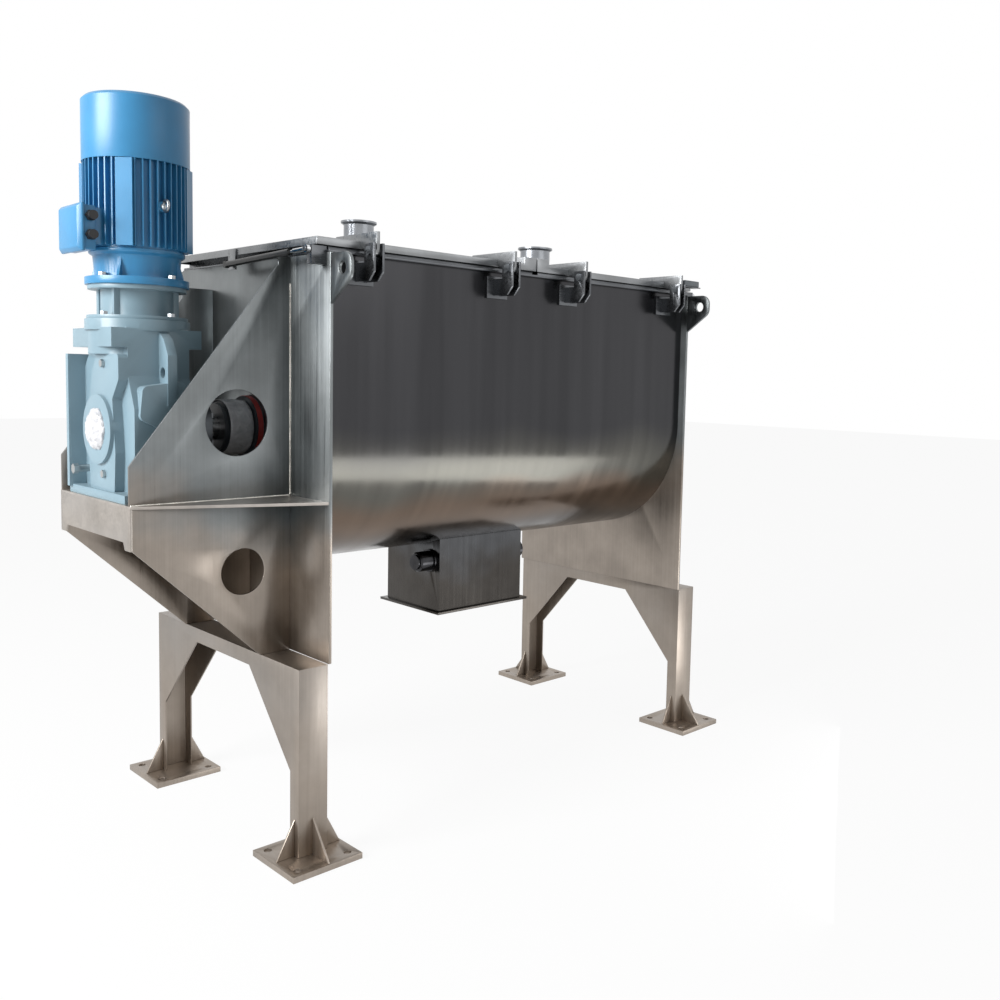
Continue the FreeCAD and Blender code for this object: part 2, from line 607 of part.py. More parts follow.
def valve():
    """Flap that closes the trough's floor flush and swings down on a spindle beside the outlet."""
    wall = "trough_radius - shell_thick"
    gap = "2"
    start, length = "outlet_start + " + gap, "outlet_end - outlet_start - 2*" + gap
    slab = box((start, "-outlet_near + " + gap, "axis_height - trough_radius - 10"),
               (length, "outlet_near + outlet_far - 2*" + gap, "60"))
    ring = cut(cylinder((start, "0", "axis_height"), "X", "trough_radius + 3", length),
               [cylinder((start, "0", "axis_height"), "X", wall, length)])
    pad_piece = new("Part::Common", "FlapPad")
    pad_piece.Base, pad_piece.Tool = slab, ring
    lap = "14"
    back_slab = box(("outlet_start - " + lap, "-outlet_near - 4", "axis_height - trough_radius - 30"),
                    ("outlet_end - outlet_start + 2*" + lap, "outlet_near + 4 + outlet_far + " + lap, "80"))
    back_ring = cut(cylinder(("outlet_start - " + lap, "0", "axis_height"), "X", "trough_radius + 9",
                             "outlet_end - outlet_start + 2*" + lap),
                    [cylinder(("outlet_start - " + lap, "0", "axis_height"), "X", "trough_radius + 3",
                              "outlet_end - outlet_start + 2*" + lap)])
    back = new("Part::Common", "FlapBack")
    back.Base, back.Tool = back_slab, back_ring
    ribs = []
    for spot in ("hopper_start + 90", "hopper_end - 102"):
        rib = plate("FlapRib", "YZ", spot, "12",
                    [("-spindle_y - 20", "spindle_z - 10"), ("-spindle_y + 10", "spindle_z - 24"),
                     ("90", "spindle_z + 16"), ("110", "spindle_z + 90"), ("-spindle_y + 22", "spindle_z + 90"),
                     ("-spindle_y + 14", "spindle_z + 48"), ("-spindle_y - 20", "spindle_z + 22")])
        outside = cylinder((spot, "0", "axis_height"), "X", "trough_radius + 5", "12")
        ribs.append(cut(rib, [outside]))
    bore = cylinder(("hopper_start", "-spindle_y", "spindle_z"), "X", "spindle_radius",
                    "hopper_end - hopper_start")
    finish(cut(fuse([pad_piece, back] + ribs), [bore], "Flap"), "discharge_flap")
    finish(group([cylinder(("hopper_start - 60", "-spindle_y", "spindle_z"), "X", "spindle_radius",
                           "hopper_end - hopper_start + 90")], "Spindle"), "valve_spindle")
    body = new("PartDesign::Body", "Actuator")
    revolve(body, [("-76", "spindle_radius + bore_clearance"), ("-76", "34"), ("-70", "40"), ("-14", "40"),
                   ("-14", "46"), ("0", "46"), ("0", "spindle_radius + bore_clearance")])
    cap = cylinder(("-84", "0", "0"), "X", "30", "8")
    drum = fuse([body, cap], "ActuatorDrum")
    locate(drum, ("hopper_start", "-spindle_y", "spindle_z"))
    finish(group([drum], "ActuatorGroup"), "valve_actuator")
    bearing = tube(("hopper_end", "-spindle_y", "spindle_z"), "X", "38",
                   "spindle_radius + bore_clearance", "32", "ValveBearing")
    end = cylinder(("hopper_end + 32", "-spindle_y", "spindle_z"), "X", "30", "6")
    finish(fuse([bearing, end], "BearingGroup"), "valve_bearing")


# ---------------------------------------------------------------- drive line

def turned(outline, name="Turned"):
    """A piece turned about the main shaft's axis: outline pairs are (distance along X, radius)."""
    body = new("PartDesign::Body", name)
    revolve(body, outline)
    bind(body, "Placement.Base.z", "axis_height")
    return body


def ribbon(start, pitch, turns, radius, width, phase, left_handed):
    """One helical strip: a rectangle swept along a helix about the shaft's axis."""
    rise = pitch * turns
    helix = Part.makeHelix(pitch, rise, radius, 0, left_handed)
    half = value("ribbon_thick") / 2
    corners = [(radius - width, -half), (radius, -half), (radius, half), (radius - width, half)]
    profile = Part.makePolygon([FreeCAD.Vector(a, 0, b) for a, b in corners + corners[:1]])
    strip = Part.Wire(helix).makePipeShell([profile], True, True)
    strip.rotate(FreeCAD.Vector(), FreeCAD.Vector(0, 0, 1), phase)
    strip.rotate(FreeCAD.Vector(), FreeCAD.Vector(0, 1, 0), 90)
    strip.translate(FreeCAD.Vector(start, 0, value("axis_height")))
    return strip


def spoke_places():
    """Stations along the shaft where the outer and inner strips cross the same diameter."""
    pitch, first = value("ribbon_pitch"), value("ribbon_start")
    stations = []
    for quarter in range(5):
        near = first + quarter * pitch / 4
        stations.append((near, 90.0 * quarter))
        stations.append((value("trough_length") - near, 90.0 * quarter))
    return stations


def agitator():
    """Double ribbon agitator: outer strips drive to the middle outlet, inner strips drive back out."""
    radius, width = value("ribbon_radius"), value("ribbon_width")
    inner, inner_width = value("inner_radius"), value("inner_width")
    pitch, first, length = value("ribbon_pitch"), value("ribbon_start"), value("trough_length")
    height = value("axis_height")
    spokes = []
    for place, angle in spoke_places():
        rod = Part.makeCylinder(value("spoke_radius"), 2 * (radius - width + 14),
                                FreeCAD.Vector(0, 0, -(radius - width + 14)))
        rod.rotate(FreeCAD.Vector(), FreeCAD.Vector(1, 0, 0), angle)
        rod.translate(FreeCAD.Vector(place, 0, height))
        spokes.append(rod)
    strips = {"outer": [], "inner": []}
    for phase in (0, 180):
        strips["outer"].append(ribbon(first, pitch, 1, radius, width, phase, False))
        strips["inner"].append(ribbon(first, pitch, 1, inner, inner_width, phase, True))
        for kind, reach, wide, left in (("outer", radius, width, False), ("inner", inner, inner_width, True)):
            strip = ribbon(first, pitch, 1, reach, wide, phase, left)
            strips[kind].append(strip.mirror(FreeCAD.Vector(length / 2, 0, 0), FreeCAD.Vector(1, 0, 0)))
    for kind, label in (("outer", "outer_ribbon"), ("inner", "inner_ribbon")):
        item = new("Part::Feature", "Ribbon")
        item.Shape = Part.makeCompound([strip.cut(spokes) for strip in strips[kind]])
        finish(item, label)
    item = new("Part::Feature", "Spokes")
    item.Shape = Part.makeCompound(spokes)
    finish(item, "ribbon_spokes")
    body = new("PartDesign::Body", "Shaft")
    end = "trough_length + 150"
    revolve(body, [("-235", "0"), ("-235", "journal_radius"), ("14", "journal_radius"), ("14", "shaft_radius"),
                   ("trough_length - 14", "shaft_radius"), ("trough_length - 14", "journal_radius"),
                   (end, "journal_radius"), (end, "0")])
    bind(body, "Placement.Base.z", "axis_height")
    tools = new("Part::Feature", "SpokeTools")
    tools.Shape = Part.makeCompound(spokes)
    finish(cut(body, [tools], "MainShaft"), "main_shaft")


def couplings():
    """Flanged coupling in two halves between the gear unit's output shaft and the main shaft."""
    driven = turned([("-236", "journal_radius"), ("-236", "150"), ("-212", "150"), ("-212", "78"),
                     ("-180", "78"), ("-180", "journal_radius")], "CouplingHalf")
    driver = turned([("-281", "0"), ("-281", "60"), ("-262", "60"), ("-262", "150"),
                     ("-238", "150"), ("-238", "0")], "CouplingDriver")
    bolts, holes = [], []
    for step in range(8):
        angle = math.radians(45 * step + 22.5)
        across, up = "%.4f*120" % math.cos(angle), "axis_height + %.4f*120" % math.sin(angle)
        shank = cylinder(("-276", across, up), "X", "10", "80")
        holes.append(cylinder(("-276", across, up), "X", "10", "80"))
        head = hexagon(("-274", across, up), "X", "16", "12")
        nut = hexagon(("-212", across, up), "X", "16", "14")
        bolts.append(fuse([shank, head, nut], "CouplingBolt"))
    finish(group(bolts, "CouplingBolts"), "coupling_bolts")
    finish(cut(driven, holes, "DrilledHalf"), "coupling_shaft_half")
    finish(cut(driver, holes, "DrilledDriver"), "coupling_gear_half")


def shaft_supports():
    """Flanged bearing housing, bearing, cover and gland seal at each end plate."""
    bore = "journal_radius + bore_clearance"
    housings, bearings, covers, seals = [], [], [], []
    for out in ("-(%s)", "trough_length + %s"):
        at = {place: out % place for place in ("0", "26", "30", "60", "66", "106", "118", "122", "134", "-12", "10")}
        housings.append(turned([(at["0"], "journal_radius + 15"), (at["0"], "108"), (at["26"], "108"),
                                (at["30"], "92"), (at["118"], "92"), (at["122"], "86"), (at["122"], "70"),
                                (at["60"], "70"), (at["60"], "journal_radius + 15")], "Housing"))
        bearings.append(turned([(at["66"], bore), (at["66"], "70"), (at["106"], "70"), (at["106"], bore)], "Bearing"))
        covers.append(turned([(at["122"], bore), (at["122"], "84"), (at["134"], "84"), (at["134"], bore)], "Cover"))
        seals.append(turned([(at["-12"], bore), (at["-12"], "60"), (at["10"], "60"), (at["10"], bore)], "Seal"))
    finish(group(housings), "bearing_housings")
    finish(group(bearings), "shaft_bearings")
    finish(group(covers), "bearing_covers")
    finish(group(seals), "shaft_seals")


def gear_unit():
    """Bevel-helical gear unit on its foot, with the output boss on the shaft's axis."""
    front, back = "-gear_front", "-gear_back"
    depth = "gear_front - gear_back"
    foot_block = box((front + " - 15", "-gear_foot_half", "shelf_head"),
                     (depth + " + 15", "2*gear_foot_half", "26"))
    core = new("PartDesign::Body", "GearCore")
    pad(core, "YZ", front + " + 30", depth + " - 30",
        [("-150", "shelf_head + 20"), ("-195", "1330"), ("-195", "1470"), ("-150", "1570"), ("-150", "1725"),
         ("165", "1725"), ("165", "1640"), ("200", "1600"), ("200", "shelf_head + 20")])
    round_edges(core, "18", runs_along(0))
    face = new("PartDesign::Body", "GearFace")
    pad(face, "YZ", front, "34",
        [("-110", "shelf_head + 20"), ("-120", "1330"), ("-100", "1500"), ("-150", "1560"), ("-150", "1640"),
         ("20", "1640"), ("60", "1590"), ("85", "1500"), ("95", "1330"), ("85", "shelf_head + 20")])
    round_edges(face, "14", runs_along(0))
    side_wall = box(("-545", "200", "shelf_head + 20"), ("250", "20", "440"))
    top_block = box(("-540", "-150", "1662"), ("290", "315", "60"))
    neck = cylinder(("-gear_x", "0", "1640"), "Z", "150", "80")
    boss = cylinder(("-532", "0", "axis_height"), "X", "112", "60")
    lobe = new("PartDesign::Body", "GearLobe")
    pad(lobe, "XZ", "-212", "60", [("-480", "1440"), ("-400", "1400"), ("-330", "1400"), ("-330", "1560"),
                                   ("-470", "1540")])
    round_edges(lobe, "20", runs_along(1))
    ear = plate("GearEar", "YZ", "-392", "30", [("-215", "1480"), ("-215", "1640"), ("-185", "1690"),
                                                ("-140", "1720"), ("-140", "1480")],
                [(("-178", "1585"), "17")])
    flange = cylinder(("-gear_x", "0", "1716"), "Z", "flange_radius", "gear_head - 1716")
    output = cylinder((back + " - 2", "0", "axis_height"), "X", "115", "12")
    housing = fuse([foot_block, core, face, side_wall, top_block, neck, boss, lobe, ear, flange, output],
                   "GearHousing")
    finish(housing, "gear_housing")
    finish(group([cylinder(("-544", "0", "axis_height"), "X", "66", "12")], "GearCap"), "gear_output_cap")
    plugs = [fuse([cylinder(("-538", "150", "1262"), "X", "12", "48"),
                   hexagon(("-552", "150", "1262"), "X", "17", "16")]),
             hexagon(("-530", "-34", "1610"), "X", "13", "10"), hexagon(("-530", "-34", "1258"), "X", "13", "10")]
    bolts = []
    for place_x in ("-gear_front + 20", "-gear_back - 25"):
        for place_y in ("-gear_foot_half + 28", "gear_foot_half - 28"):
            bolts.append(hexagon((place_x, place_y, "shelf_head - shelf_thick - 15"), "Z", "18", "15"))
    finish(group(plugs + bolts, "GearFasteners"), "gear_fasteners")


def motor():
    """Finned flange motor standing upright on the gear unit's lantern."""
    axis = ("-gear_x", "0")
    lantern = new("PartDesign::Body", "Lantern")
    revolve(lantern, [("0", "gear_head"), ("flange_radius - 6", "gear_head"), ("flange_radius - 6", "gear_head + 12"),
                      ("112", "gear_head + 12"), ("112", "motor_base - 14"), ("flange_radius - 10", "motor_base - 14"),
                      ("flange_radius - 10", "motor_base"), ("0", "motor_base")], "XZ", "Z_Axis")
    bind(lantern, "Placement.Base.x", "-gear_x")
    ribs = []
    for sign_x in (-1, 1):
        for sign_y in (-1, 1):
            ribs.append(box(("-gear_x + %d" % (sign_x * 96 - 9), "%d" % (sign_y * 62 - 9), "gear_head + 6"),
                            ("18", "18", "motor_base - gear_head - 10")))
    bore = cylinder(("-gear_x", "0", "gear_head + 20"), "Z", "rotor_radius + bore_clearance", "200")
    finish(cut(fuse([lantern] + ribs), [bore], "LanternHousing"), "motor_lantern")

    shield = new("PartDesign::Body", "Shield")
    clear = "rotor_radius + bore_clearance"
    revolve(shield, [(clear, "motor_base"), ("flange_radius - 2", "motor_base"),
                     ("flange_radius - 2", "motor_base + 24"), ("128", "motor_base + 24"),
                     ("134", "motor_base + 92"), ("146", "motor_base + 100"), ("146", "motor_base + 112"),
                     (clear, "motor_base + 112")], "XZ", "Z_Axis")
    bind(shield, "Placement.Base.x", "-gear_x")
    webs = []
    for step in range(4):
        web = plate("ShieldWeb", "XZ", "-5", "10", [("100", "motor_base + 20"), ("152", "motor_base + 20"),
                                                    ("132", "motor_base + 84"), ("100", "motor_base + 84")])
        turn = FreeCAD.Rotation(FreeCAD.Vector(0, 0, 1), 45 + 90 * step)
        web.Placement = FreeCAD.Placement(FreeCAD.Vector(), turn)
        bind(web, "Placement.Base.x", "-gear_x")
        webs.append(web)
    finish(fuse([shield] + webs, "ShieldFuse"), "motor_flange_shield")

    frame = new("PartDesign::Body", "MotorFrame")
    base, rise = "motor_base + 112", "cowl_base - motor_base - 106"
    pad(frame, "XY", base, rise, None, [(("0", "0"), "fin_root_radius"), (("0", "0"), clear)])
    pad(frame, "XY", base + " + 6", rise + " - 12",
        rectangle("fin_root_radius - 8", "-fin_thick/2", "cowl_radius - 2", "fin_thick/2"))
    single_fin = frame.Tip
    fins = frame.newObject("PartDesign::PolarPattern", "Fins")
    fins.Originals = [single_fin]
    fins.Axis = (next(f for f in frame.Origin.OriginFeatures if f.Role == "Z_Axis"), [""])
    fins.Occurrences = 44
    fins.Angle = 360
    frame.Tip = fins
    bind(frame, "Placement.Base.x", "-gear_x")
    pads = []
    for step in range(4):
        slab = box(("0", "-26", base + " + 4"), ("cowl_radius - 1", "52", rise + " - 12"))
        slab.Placement = FreeCAD.Placement(FreeCAD.Vector(), FreeCAD.Rotation(FreeCAD.Vector(0, 0, 1), 45 + 90 * step))
        locate(slab, ("-gear_x", "0", base + " + 4"))
        pads.append(slab)
    socket = box(("-gear_x - cowl_radius + 1", "-70", base + " + 4"), ("100", "140", "box_head - 14 - (%s)" % base))
    pads.append(cylinder(("-gear_x + 14", "-cowl_radius + 2", "2104"), "Y", "16", "30"))
    core = cylinder(("-gear_x", "0", base), "Z", clear, rise)
    finish(cut(fuse([frame, socket] + pads), [core], "FrameFuse"), "motor_frame")

    cowl = new("PartDesign::Body", "Cowl")
    wall = "cowl_radius - 3"
    revolve(cowl, [("cowl_radius", "cowl_base"), ("cowl_radius", "cowl_head - 10"),
                   ("cowl_radius - 10", "cowl_head"), ("0", "cowl_head"), ("0", "cowl_head - 3"),
                   (wall + " - 8", "cowl_head - 3"), (wall, "cowl_head - 11"), (wall, "cowl_base")], "XZ", "Z_Axis")
    slots = []
    for step in range(-5, 6):
        reach = math.sqrt(120 ** 2 - (step * 20) ** 2)
        slots.append(rectangle("%.3f" % -reach, "%d" % (step * 20 - 4), "%.3f" % reach, "%d" % (step * 20 + 4)))
    slot_sketch = sketch_on(cowl, "XY", "cowl_head - 5")
    for slot in slots:
        add_outline(slot_sketch, slot)
    grille = cowl.newObject("PartDesign::Pocket", "Grille")
    grille.Profile = slot_sketch
    bind(grille, "Length", "10")
    grille.Reversed = True
    bind(cowl, "Placement.Base.x", "-gear_x")
    finish(group([cowl], "CowlGroup"), "fan_cowl")

    rotor = new("PartDesign::Body", "Rotor")
    revolve(rotor, [("0", "gear_head + 20"), ("rotor_radius", "gear_head + 20"),
                    ("rotor_radius", "cowl_head - 60"), ("0", "cowl_head - 60")], "XZ", "Z_Axis")
    bind(rotor, "Placement.Base.x", "-gear_x")
    finish(group([rotor], "RotorGroup"), "motor_shaft")
    hub = tube(("-gear_x", "0", "cowl_head - 110"), "Z", "46", "rotor_radius", "40")
    blades = []
    for step in range(8):
        blade = box(("38", "-2", "cowl_head - 125"), ("100", "4", "60"))
        blade.Placement = FreeCAD.Placement(FreeCAD.Vector(), FreeCAD.Rotation(FreeCAD.Vector(0, 0, 1), 45 * step))
        angle = math.radians(45 * step)
        locate(blade, ("-gear_x + %.4f*38 + %.4f*2" % (math.cos(angle), math.sin(angle)),
                       "%.4f*38 - %.4f*2" % (math.sin(angle), math.cos(angle)), "cowl_head - 125"))
        blades.append(blade)
    disc = tube(("-gear_x", "0", "cowl_head - 128"), "Z", "140", "rotor_radius", "4")
    finish(fuse([hub, disc] + blades, "Fan"), "motor_fan")


def motor_fittings():
    """Terminal box with its lid and glands, eye bolt and flange bolts."""
    height = "box_head - box_base"
    depth = "box_face - 20 - gear_x - cowl_radius + 1"
    base = box(("-box_face + 20", "-box_half + 4", "box_base + 6"), (depth, "2*box_half - 8", height + " - 12"))
    finish(group([base], "TerminalBase"), "terminal_box")
    lid_body = new("PartDesign::Body", "TerminalLid")
    pad(lid_body, "YZ", "-box_face", "20", rectangle("-box_half", "box_base", "box_half", "box_head"))
    doc.recompute()
    block = lid_body.Tip
    bevel = lid_body.newObject("PartDesign::Chamfer", "Bevel")
    face_x = -value("box_face")
    rim = ["Edge%d" % (i + 1) for i, edge in enumerate(block.Shape.Edges)
           if all(abs(v.X - face_x) < 1e-3 for v in edge.Vertexes)]
    bevel.Base = (block, rim)
    bevel.Size = 12
    finish(lid_body, "terminal_box_lid")
    glands = []
    for height_z in ("box_base + 50", "box_base + 108"):
        nut = hexagon(("-box_face + 38", "-box_half - 10", height_z), "Y", "17", "14")
        dome = cylinder(("-box_face + 38", "-box_half - 24", height_z), "Y", "14", "14")
        glands.append(fuse([nut, dome], "Gland"))
    finish(group(glands, "Glands"), "cable_glands")
    ring = new("Part::Torus", "Ring")
    ring.Radius1 = 17
    ring.Radius2 = 4.5
    ring.Placement = FreeCAD.Placement(FreeCAD.Vector(), FreeCAD.Rotation(FreeCAD.Vector(0, 1, 0), 90))
    locate(ring, ("-gear_x + 14", "-cowl_radius - 22", "2104"))
    stem = cylinder(("-gear_x + 14", "-cowl_radius - 6", "2104"), "Y", "8", "8")
    finish(fuse([ring, stem], "EyeBolt"), "eye_bolt")
    bolts = []
    for radius, height_z, size in (("flange_radius - 16", "motor_base + 24", "12"), ("flange_radius - 20", "gear_head + 12", "12")):
        for step in range(4):
            angle = math.radians(22.5 + 90 * step)
            place = ("-gear_x + %.4f*(%s)" % (math.cos(angle), radius), "%.4f*(%s)" % (math.sin(angle), radius), height_z)
            bolts.append(hexagon(place, "Z", size, "11"))
    finish(group(bolts, "DriveBolts"), "drive_bolts")


trough_shell()
end_plates()
rim_frame()
leg_portal("-portal_depth", "drive_leg_portal")
leg_portal(FAR, "far_leg_portal")
feet()
drive_shelf()
side_plates()
lifting_ears()
hinge_lugs()
lids()
gas_springs()
discharge_hopper()
valve()
agitator()
couplings()
shaft_supports()
gear_unit()
motor()
motor_fittings()

doc.recompute()

broken = [item.Name for item in doc.Objects if "Invalid" in item.State or "Error" in item.State]
if broken:
    raise RuntimeError("objects failed: " + ", ".join(broken))
faulty = [node.Label for node in NODES if node.Shape.isNull() or not node.Shape.isValid()]
if faulty:
    raise RuntimeError("bad shapes: " + ", ".join(faulty))

os.makedirs("parts", exist_ok=True)
for node in NODES:
    node.Shape.exportStep("parts/%s.step" % node.Label)
print("sub-parts:", len(NODES))
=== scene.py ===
"""Finish, small fittings, lamps and camera for an industrial ribbon blender.

The machine's solids come from the frame. This script eases their edges, lays the weld beads, wraps and small
fittings on them, and gives each surface the finish of the real one.
"""
import json
import math

import bpy
from mathutils import Matrix, Vector

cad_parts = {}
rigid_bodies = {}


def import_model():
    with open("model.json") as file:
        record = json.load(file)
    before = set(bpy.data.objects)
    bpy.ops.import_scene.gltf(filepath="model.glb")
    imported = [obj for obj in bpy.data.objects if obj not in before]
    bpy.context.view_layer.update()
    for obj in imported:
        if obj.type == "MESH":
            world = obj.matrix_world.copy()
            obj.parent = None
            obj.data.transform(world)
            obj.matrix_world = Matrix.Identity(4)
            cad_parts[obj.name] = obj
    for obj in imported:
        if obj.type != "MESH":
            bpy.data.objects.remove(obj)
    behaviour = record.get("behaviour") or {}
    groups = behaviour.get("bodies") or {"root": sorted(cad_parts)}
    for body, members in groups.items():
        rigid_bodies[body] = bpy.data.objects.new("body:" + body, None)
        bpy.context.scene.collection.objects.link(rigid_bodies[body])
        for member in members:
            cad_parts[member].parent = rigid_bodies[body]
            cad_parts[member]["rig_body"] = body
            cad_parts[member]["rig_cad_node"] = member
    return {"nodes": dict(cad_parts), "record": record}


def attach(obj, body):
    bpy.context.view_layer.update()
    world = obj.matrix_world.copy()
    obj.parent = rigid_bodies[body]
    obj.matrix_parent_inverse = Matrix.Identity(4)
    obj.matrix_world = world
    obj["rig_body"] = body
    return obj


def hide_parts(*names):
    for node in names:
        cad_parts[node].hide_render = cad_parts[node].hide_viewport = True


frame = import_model()

bl_info = {
    "name": "Ribbon Blender",
    "version": (1, 0, 0),
    "blender": (4, 5, 0),
    "location": "3D View > Sidebar > Ribbon Blender",
    "description": "Finishes, weld beads, fittings and stage for a ribbon blender",
    "category": "Object",
}

MM = 0.001
CAMERA_PLACE = (-2.4966, -3.3092, 1.5945)               # metres
CAMERA_PAN, CAMERA_TILT, CAMERA_ROLL = -45.279, -4.735, 1.355     # degrees
CAMERA_LENS = 36.19                                     # millimetres, on a sensor 36 mm wide
CAMERA_SHIFT = (-0.0559, -0.0378)
RECORD = frame["record"]
JOINTS = {joint["name"]: joint for joint in RECORD["behaviour"]["joints"]}
SHAFT_Z = JOINTS["agitator_spin"]["pos_m"][2]
HINGE_Y, HINGE_Z = JOINTS["lid_2_hinge"]["pos_m"][1:]
# the outer face of the drive end plate
DRIVE_PLATE_X = min(v.co.x for v in frame["nodes"]["drive_end_plate"].data.vertices)


# ---------------------------------------------------------------- colour and nodes

def linear(hex_code):
    """An sRGB hex colour as linear red, green, blue and full alpha."""
    parts = [int(hex_code[i:i + 2], 16) / 255 for i in (1, 3, 5)]
    return tuple(c / 12.92 if c <= 0.04045 else ((c + 0.055) / 1.055) ** 2.4 for c in parts) + (1.0,)


def add(tree, kind, values=None, sources=None, **settings):
    """Add a shader node with its settings, its sockets' own values and the outputs that feed it."""
    made = tree.nodes.new("ShaderNode" + kind)
    for name, setting in settings.items():
        setattr(made, name, setting)
    for name, number in (values or {}).items():
        made.inputs[name].default_value = number
    for name, output in (sources or {}).items():
        tree.links.new(output, made.inputs[name])
    return made


def new_material(name):
    """An empty node material with its output, and the object's own coordinates in metres."""
    material = bpy.data.materials.new(name)
    material.use_nodes = True
    tree = material.node_tree
    tree.nodes.clear()
    output = add(tree, "OutputMaterial")
    place = add(tree, "TexCoord").outputs["Object"]
    return material, tree, output, place


# ---------------------------------------------------------------- finishes

def stainless_sheet(name, low, high, change, grain, rough=0.34, cloud=0.16, streak=0.10):
    """Austenitic stainless sheet, ground on a belt.

    The belt leaves fine parallel scratches that stretch every highlight along the grain. Low down the metal
    carries a warmer tone than high up, and pickling leaves soft clouds. low and high are those tones, change
    the two heights between which one turns into the other, and grain the scratches' frequency along X, Y and Z
    in lines per metre: the belt's 0.3 mm scratches are drawn 6 to 10 mm wide, so that they show at all.
    """
    material, tree, output, place = new_material(name)
    split = add(tree, "SeparateXYZ", sources={"Vector": place})
    drift = add(tree, "TexNoise", {"Scale": 2.2, "Detail": 3.0, "Roughness": 0.55}, {"Vector": place})
    wander = add(tree, "MapRange", {"From Min": 0.3, "From Max": 0.7, "To Min": -0.22, "To Max": 0.22},
                 {"Value": drift.outputs["Fac"]})
    height = add(tree, "Math", sources={0: split.outputs["Z"], 1: wander.outputs["Result"]}, operation="ADD")
    ramp = add(tree, "MapRange", {"From Min": change[0], "From Max": change[1]},
               {"Value": height.outputs["Value"]}, interpolation_type="SMOOTHSTEP")
    tone = add(tree, "MixRGB", {"Color1": linear(low), "Color2": linear(high)},
               {"Fac": ramp.outputs["Result"]})
    clouds = add(tree, "TexNoise", {"Scale": 4.5, "Detail": 4.0, "Roughness": 0.6}, {"Vector": place})
    cloud_gain = add(tree, "MapRange", {"From Min": 0.3, "From Max": 0.7, "To Min": 1 - cloud,
                                        "To Max": 1 + cloud}, {"Value": clouds.outputs["Fac"]})
    stretch = add(tree, "Mapping", {"Scale": grain}, {"Vector": place})
    scratches = add(tree, "TexNoise", {"Scale": 1.0, "Detail": 4.0, "Roughness": 0.65},
                    {"Vector": stretch.outputs["Vector"]})
    streak_gain = add(tree, "MapRange", {"From Min": 0.25, "From Max": 0.75, "To Min": 1 - streak,
                                         "To Max": 1 + streak}, {"Value": scratches.outputs["Fac"]})
    gain = add(tree, "Math", sources={0: cloud_gain.outputs["Result"], 1: streak_gain.outputs["Result"]},
               operation="MULTIPLY")
    shade = add(tree, "VectorMath", sources={0: tone.outputs["Color"], "Scale": gain.outputs["Value"]},
                operation="SCALE")
    gloss = add(tree, "MapRange", {"From Min": 0.25, "From Max": 0.75, "To Min": rough - 0.07,
                                   "To Max": rough + 0.09}, {"Value": scratches.outputs["Fac"]})
    relief = add(tree, "Bump", {"Strength": 0.18, "Distance": 0.0006}, {"Height": scratches.outputs["Fac"]})
    metal = add(tree, "BsdfPrincipled", {"Metallic": 1.0},
                {"Base Color": shade.outputs["Vector"], "Roughness": gloss.outputs["Result"],
                 "Normal": relief.outputs["Normal"]})
    tree.links.new(metal.outputs["BSDF"], output.inputs["Surface"])
    return material


def mirror_sheet(name, settings):
    """Cold-rolled stainless sheet, polished to a dull mirror.

    A long roll leaves vertical bands of slightly different gloss. Its tone by height paints the reflections:
    the flat walls stay dark, the turn of the trough carries a pale painted reflected band, and its underside a
    brown-grey painted reflection of the floor.
    """
    material, tree, output, place = new_material(name)
    split = add(tree, "SeparateXYZ", sources={"Vector": place})
    drift = add(tree, "TexNoise", {"Scale": 1.6, "Detail": 2.0}, {"Vector": place})
    wander = add(tree, "MapRange", {"From Min": 0.3, "From Max": 0.7, "To Min": -0.05, "To Max": 0.05},
                 {"Value": drift.outputs["Fac"]})
    height = add(tree, "Math", sources={0: split.outputs["Z"], 1: wander.outputs["Result"]}, operation="ADD")
    # heights in metres between which one tone turns into the next, from the trough's floor up to its walls:
    # a brown-grey painted reflection of the floor below, a pale painted reflected band at the turn, the dark
    # walls above
    floor, bend, wall = (0.95, 1.06), (1.10, 1.22), (1.24, 1.42)
    lower = add(tree, "MapRange", {"From Min": floor[0], "From Max": floor[1]},
                {"Value": height.outputs["Value"]}, interpolation_type="SMOOTHSTEP")
    # painted reflection of the floor: dark brown-grey on the trough's underside, turning pale towards the turn
    floor_reflection_tone = add(tree, "MixRGB", {"Color1": linear("#3a3430"), "Color2": linear("#6b5c50")},
                {"Fac": lower.outputs["Result"]})
    turn = add(tree, "MapRange", {"From Min": bend[0], "From Max": bend[1]},
               {"Value": height.outputs["Value"]}, interpolation_type="SMOOTHSTEP")
    # painted reflected band: the pale tone at the turn of the trough
    middle = add(tree, "MixRGB", {"Color2": linear("#5e5d58")},
                 {"Color1": floor_reflection_tone.outputs["Color"], "Fac": turn.outputs["Result"]})
    upper = add(tree, "MapRange", {"From Min": wall[0], "From Max": wall[1]},
                {"Value": height.outputs["Value"]}, interpolation_type="SMOOTHSTEP")
    tone = add(tree, "MixRGB", {"Color2": settings.trough_tone[:] + (1.0,)},
               {"Color1": middle.outputs["Color"], "Fac": upper.outputs["Result"]})
    stretch = add(tree, "Mapping", {"Scale": (14.0, 1.0, 0.7)}, {"Vector": place})
    bands = add(tree, "TexNoise", {"Scale": 1.0, "Detail": 3.0, "Roughness": 0.5},
                {"Vector": stretch.outputs["Vector"]})
    band_gain = add(tree, "MapRange", {"From Min": 0.3, "From Max": 0.7, "To Min": 0.9, "To Max": 1.12},
                    {"Value": bands.outputs["Fac"]})
    shade = add(tree, "VectorMath", sources={0: tone.outputs["Color"], "Scale": band_gain.outputs["Result"]},
                operation="SCALE")
    gloss = add(tree, "MapRange", {"From Min": 0.3, "From Max": 0.7, "To Min": 0.16, "To Max": 0.27},
                {"Value": bands.outputs["Fac"]})
    metal = add(tree, "BsdfPrincipled", {"Metallic": 1.0},
                {"Base Color": shade.outputs["Vector"], "Roughness": gloss.outputs["Result"]})
    tree.links.new(metal.outputs["BSDF"], output.inputs["Surface"])
    return material


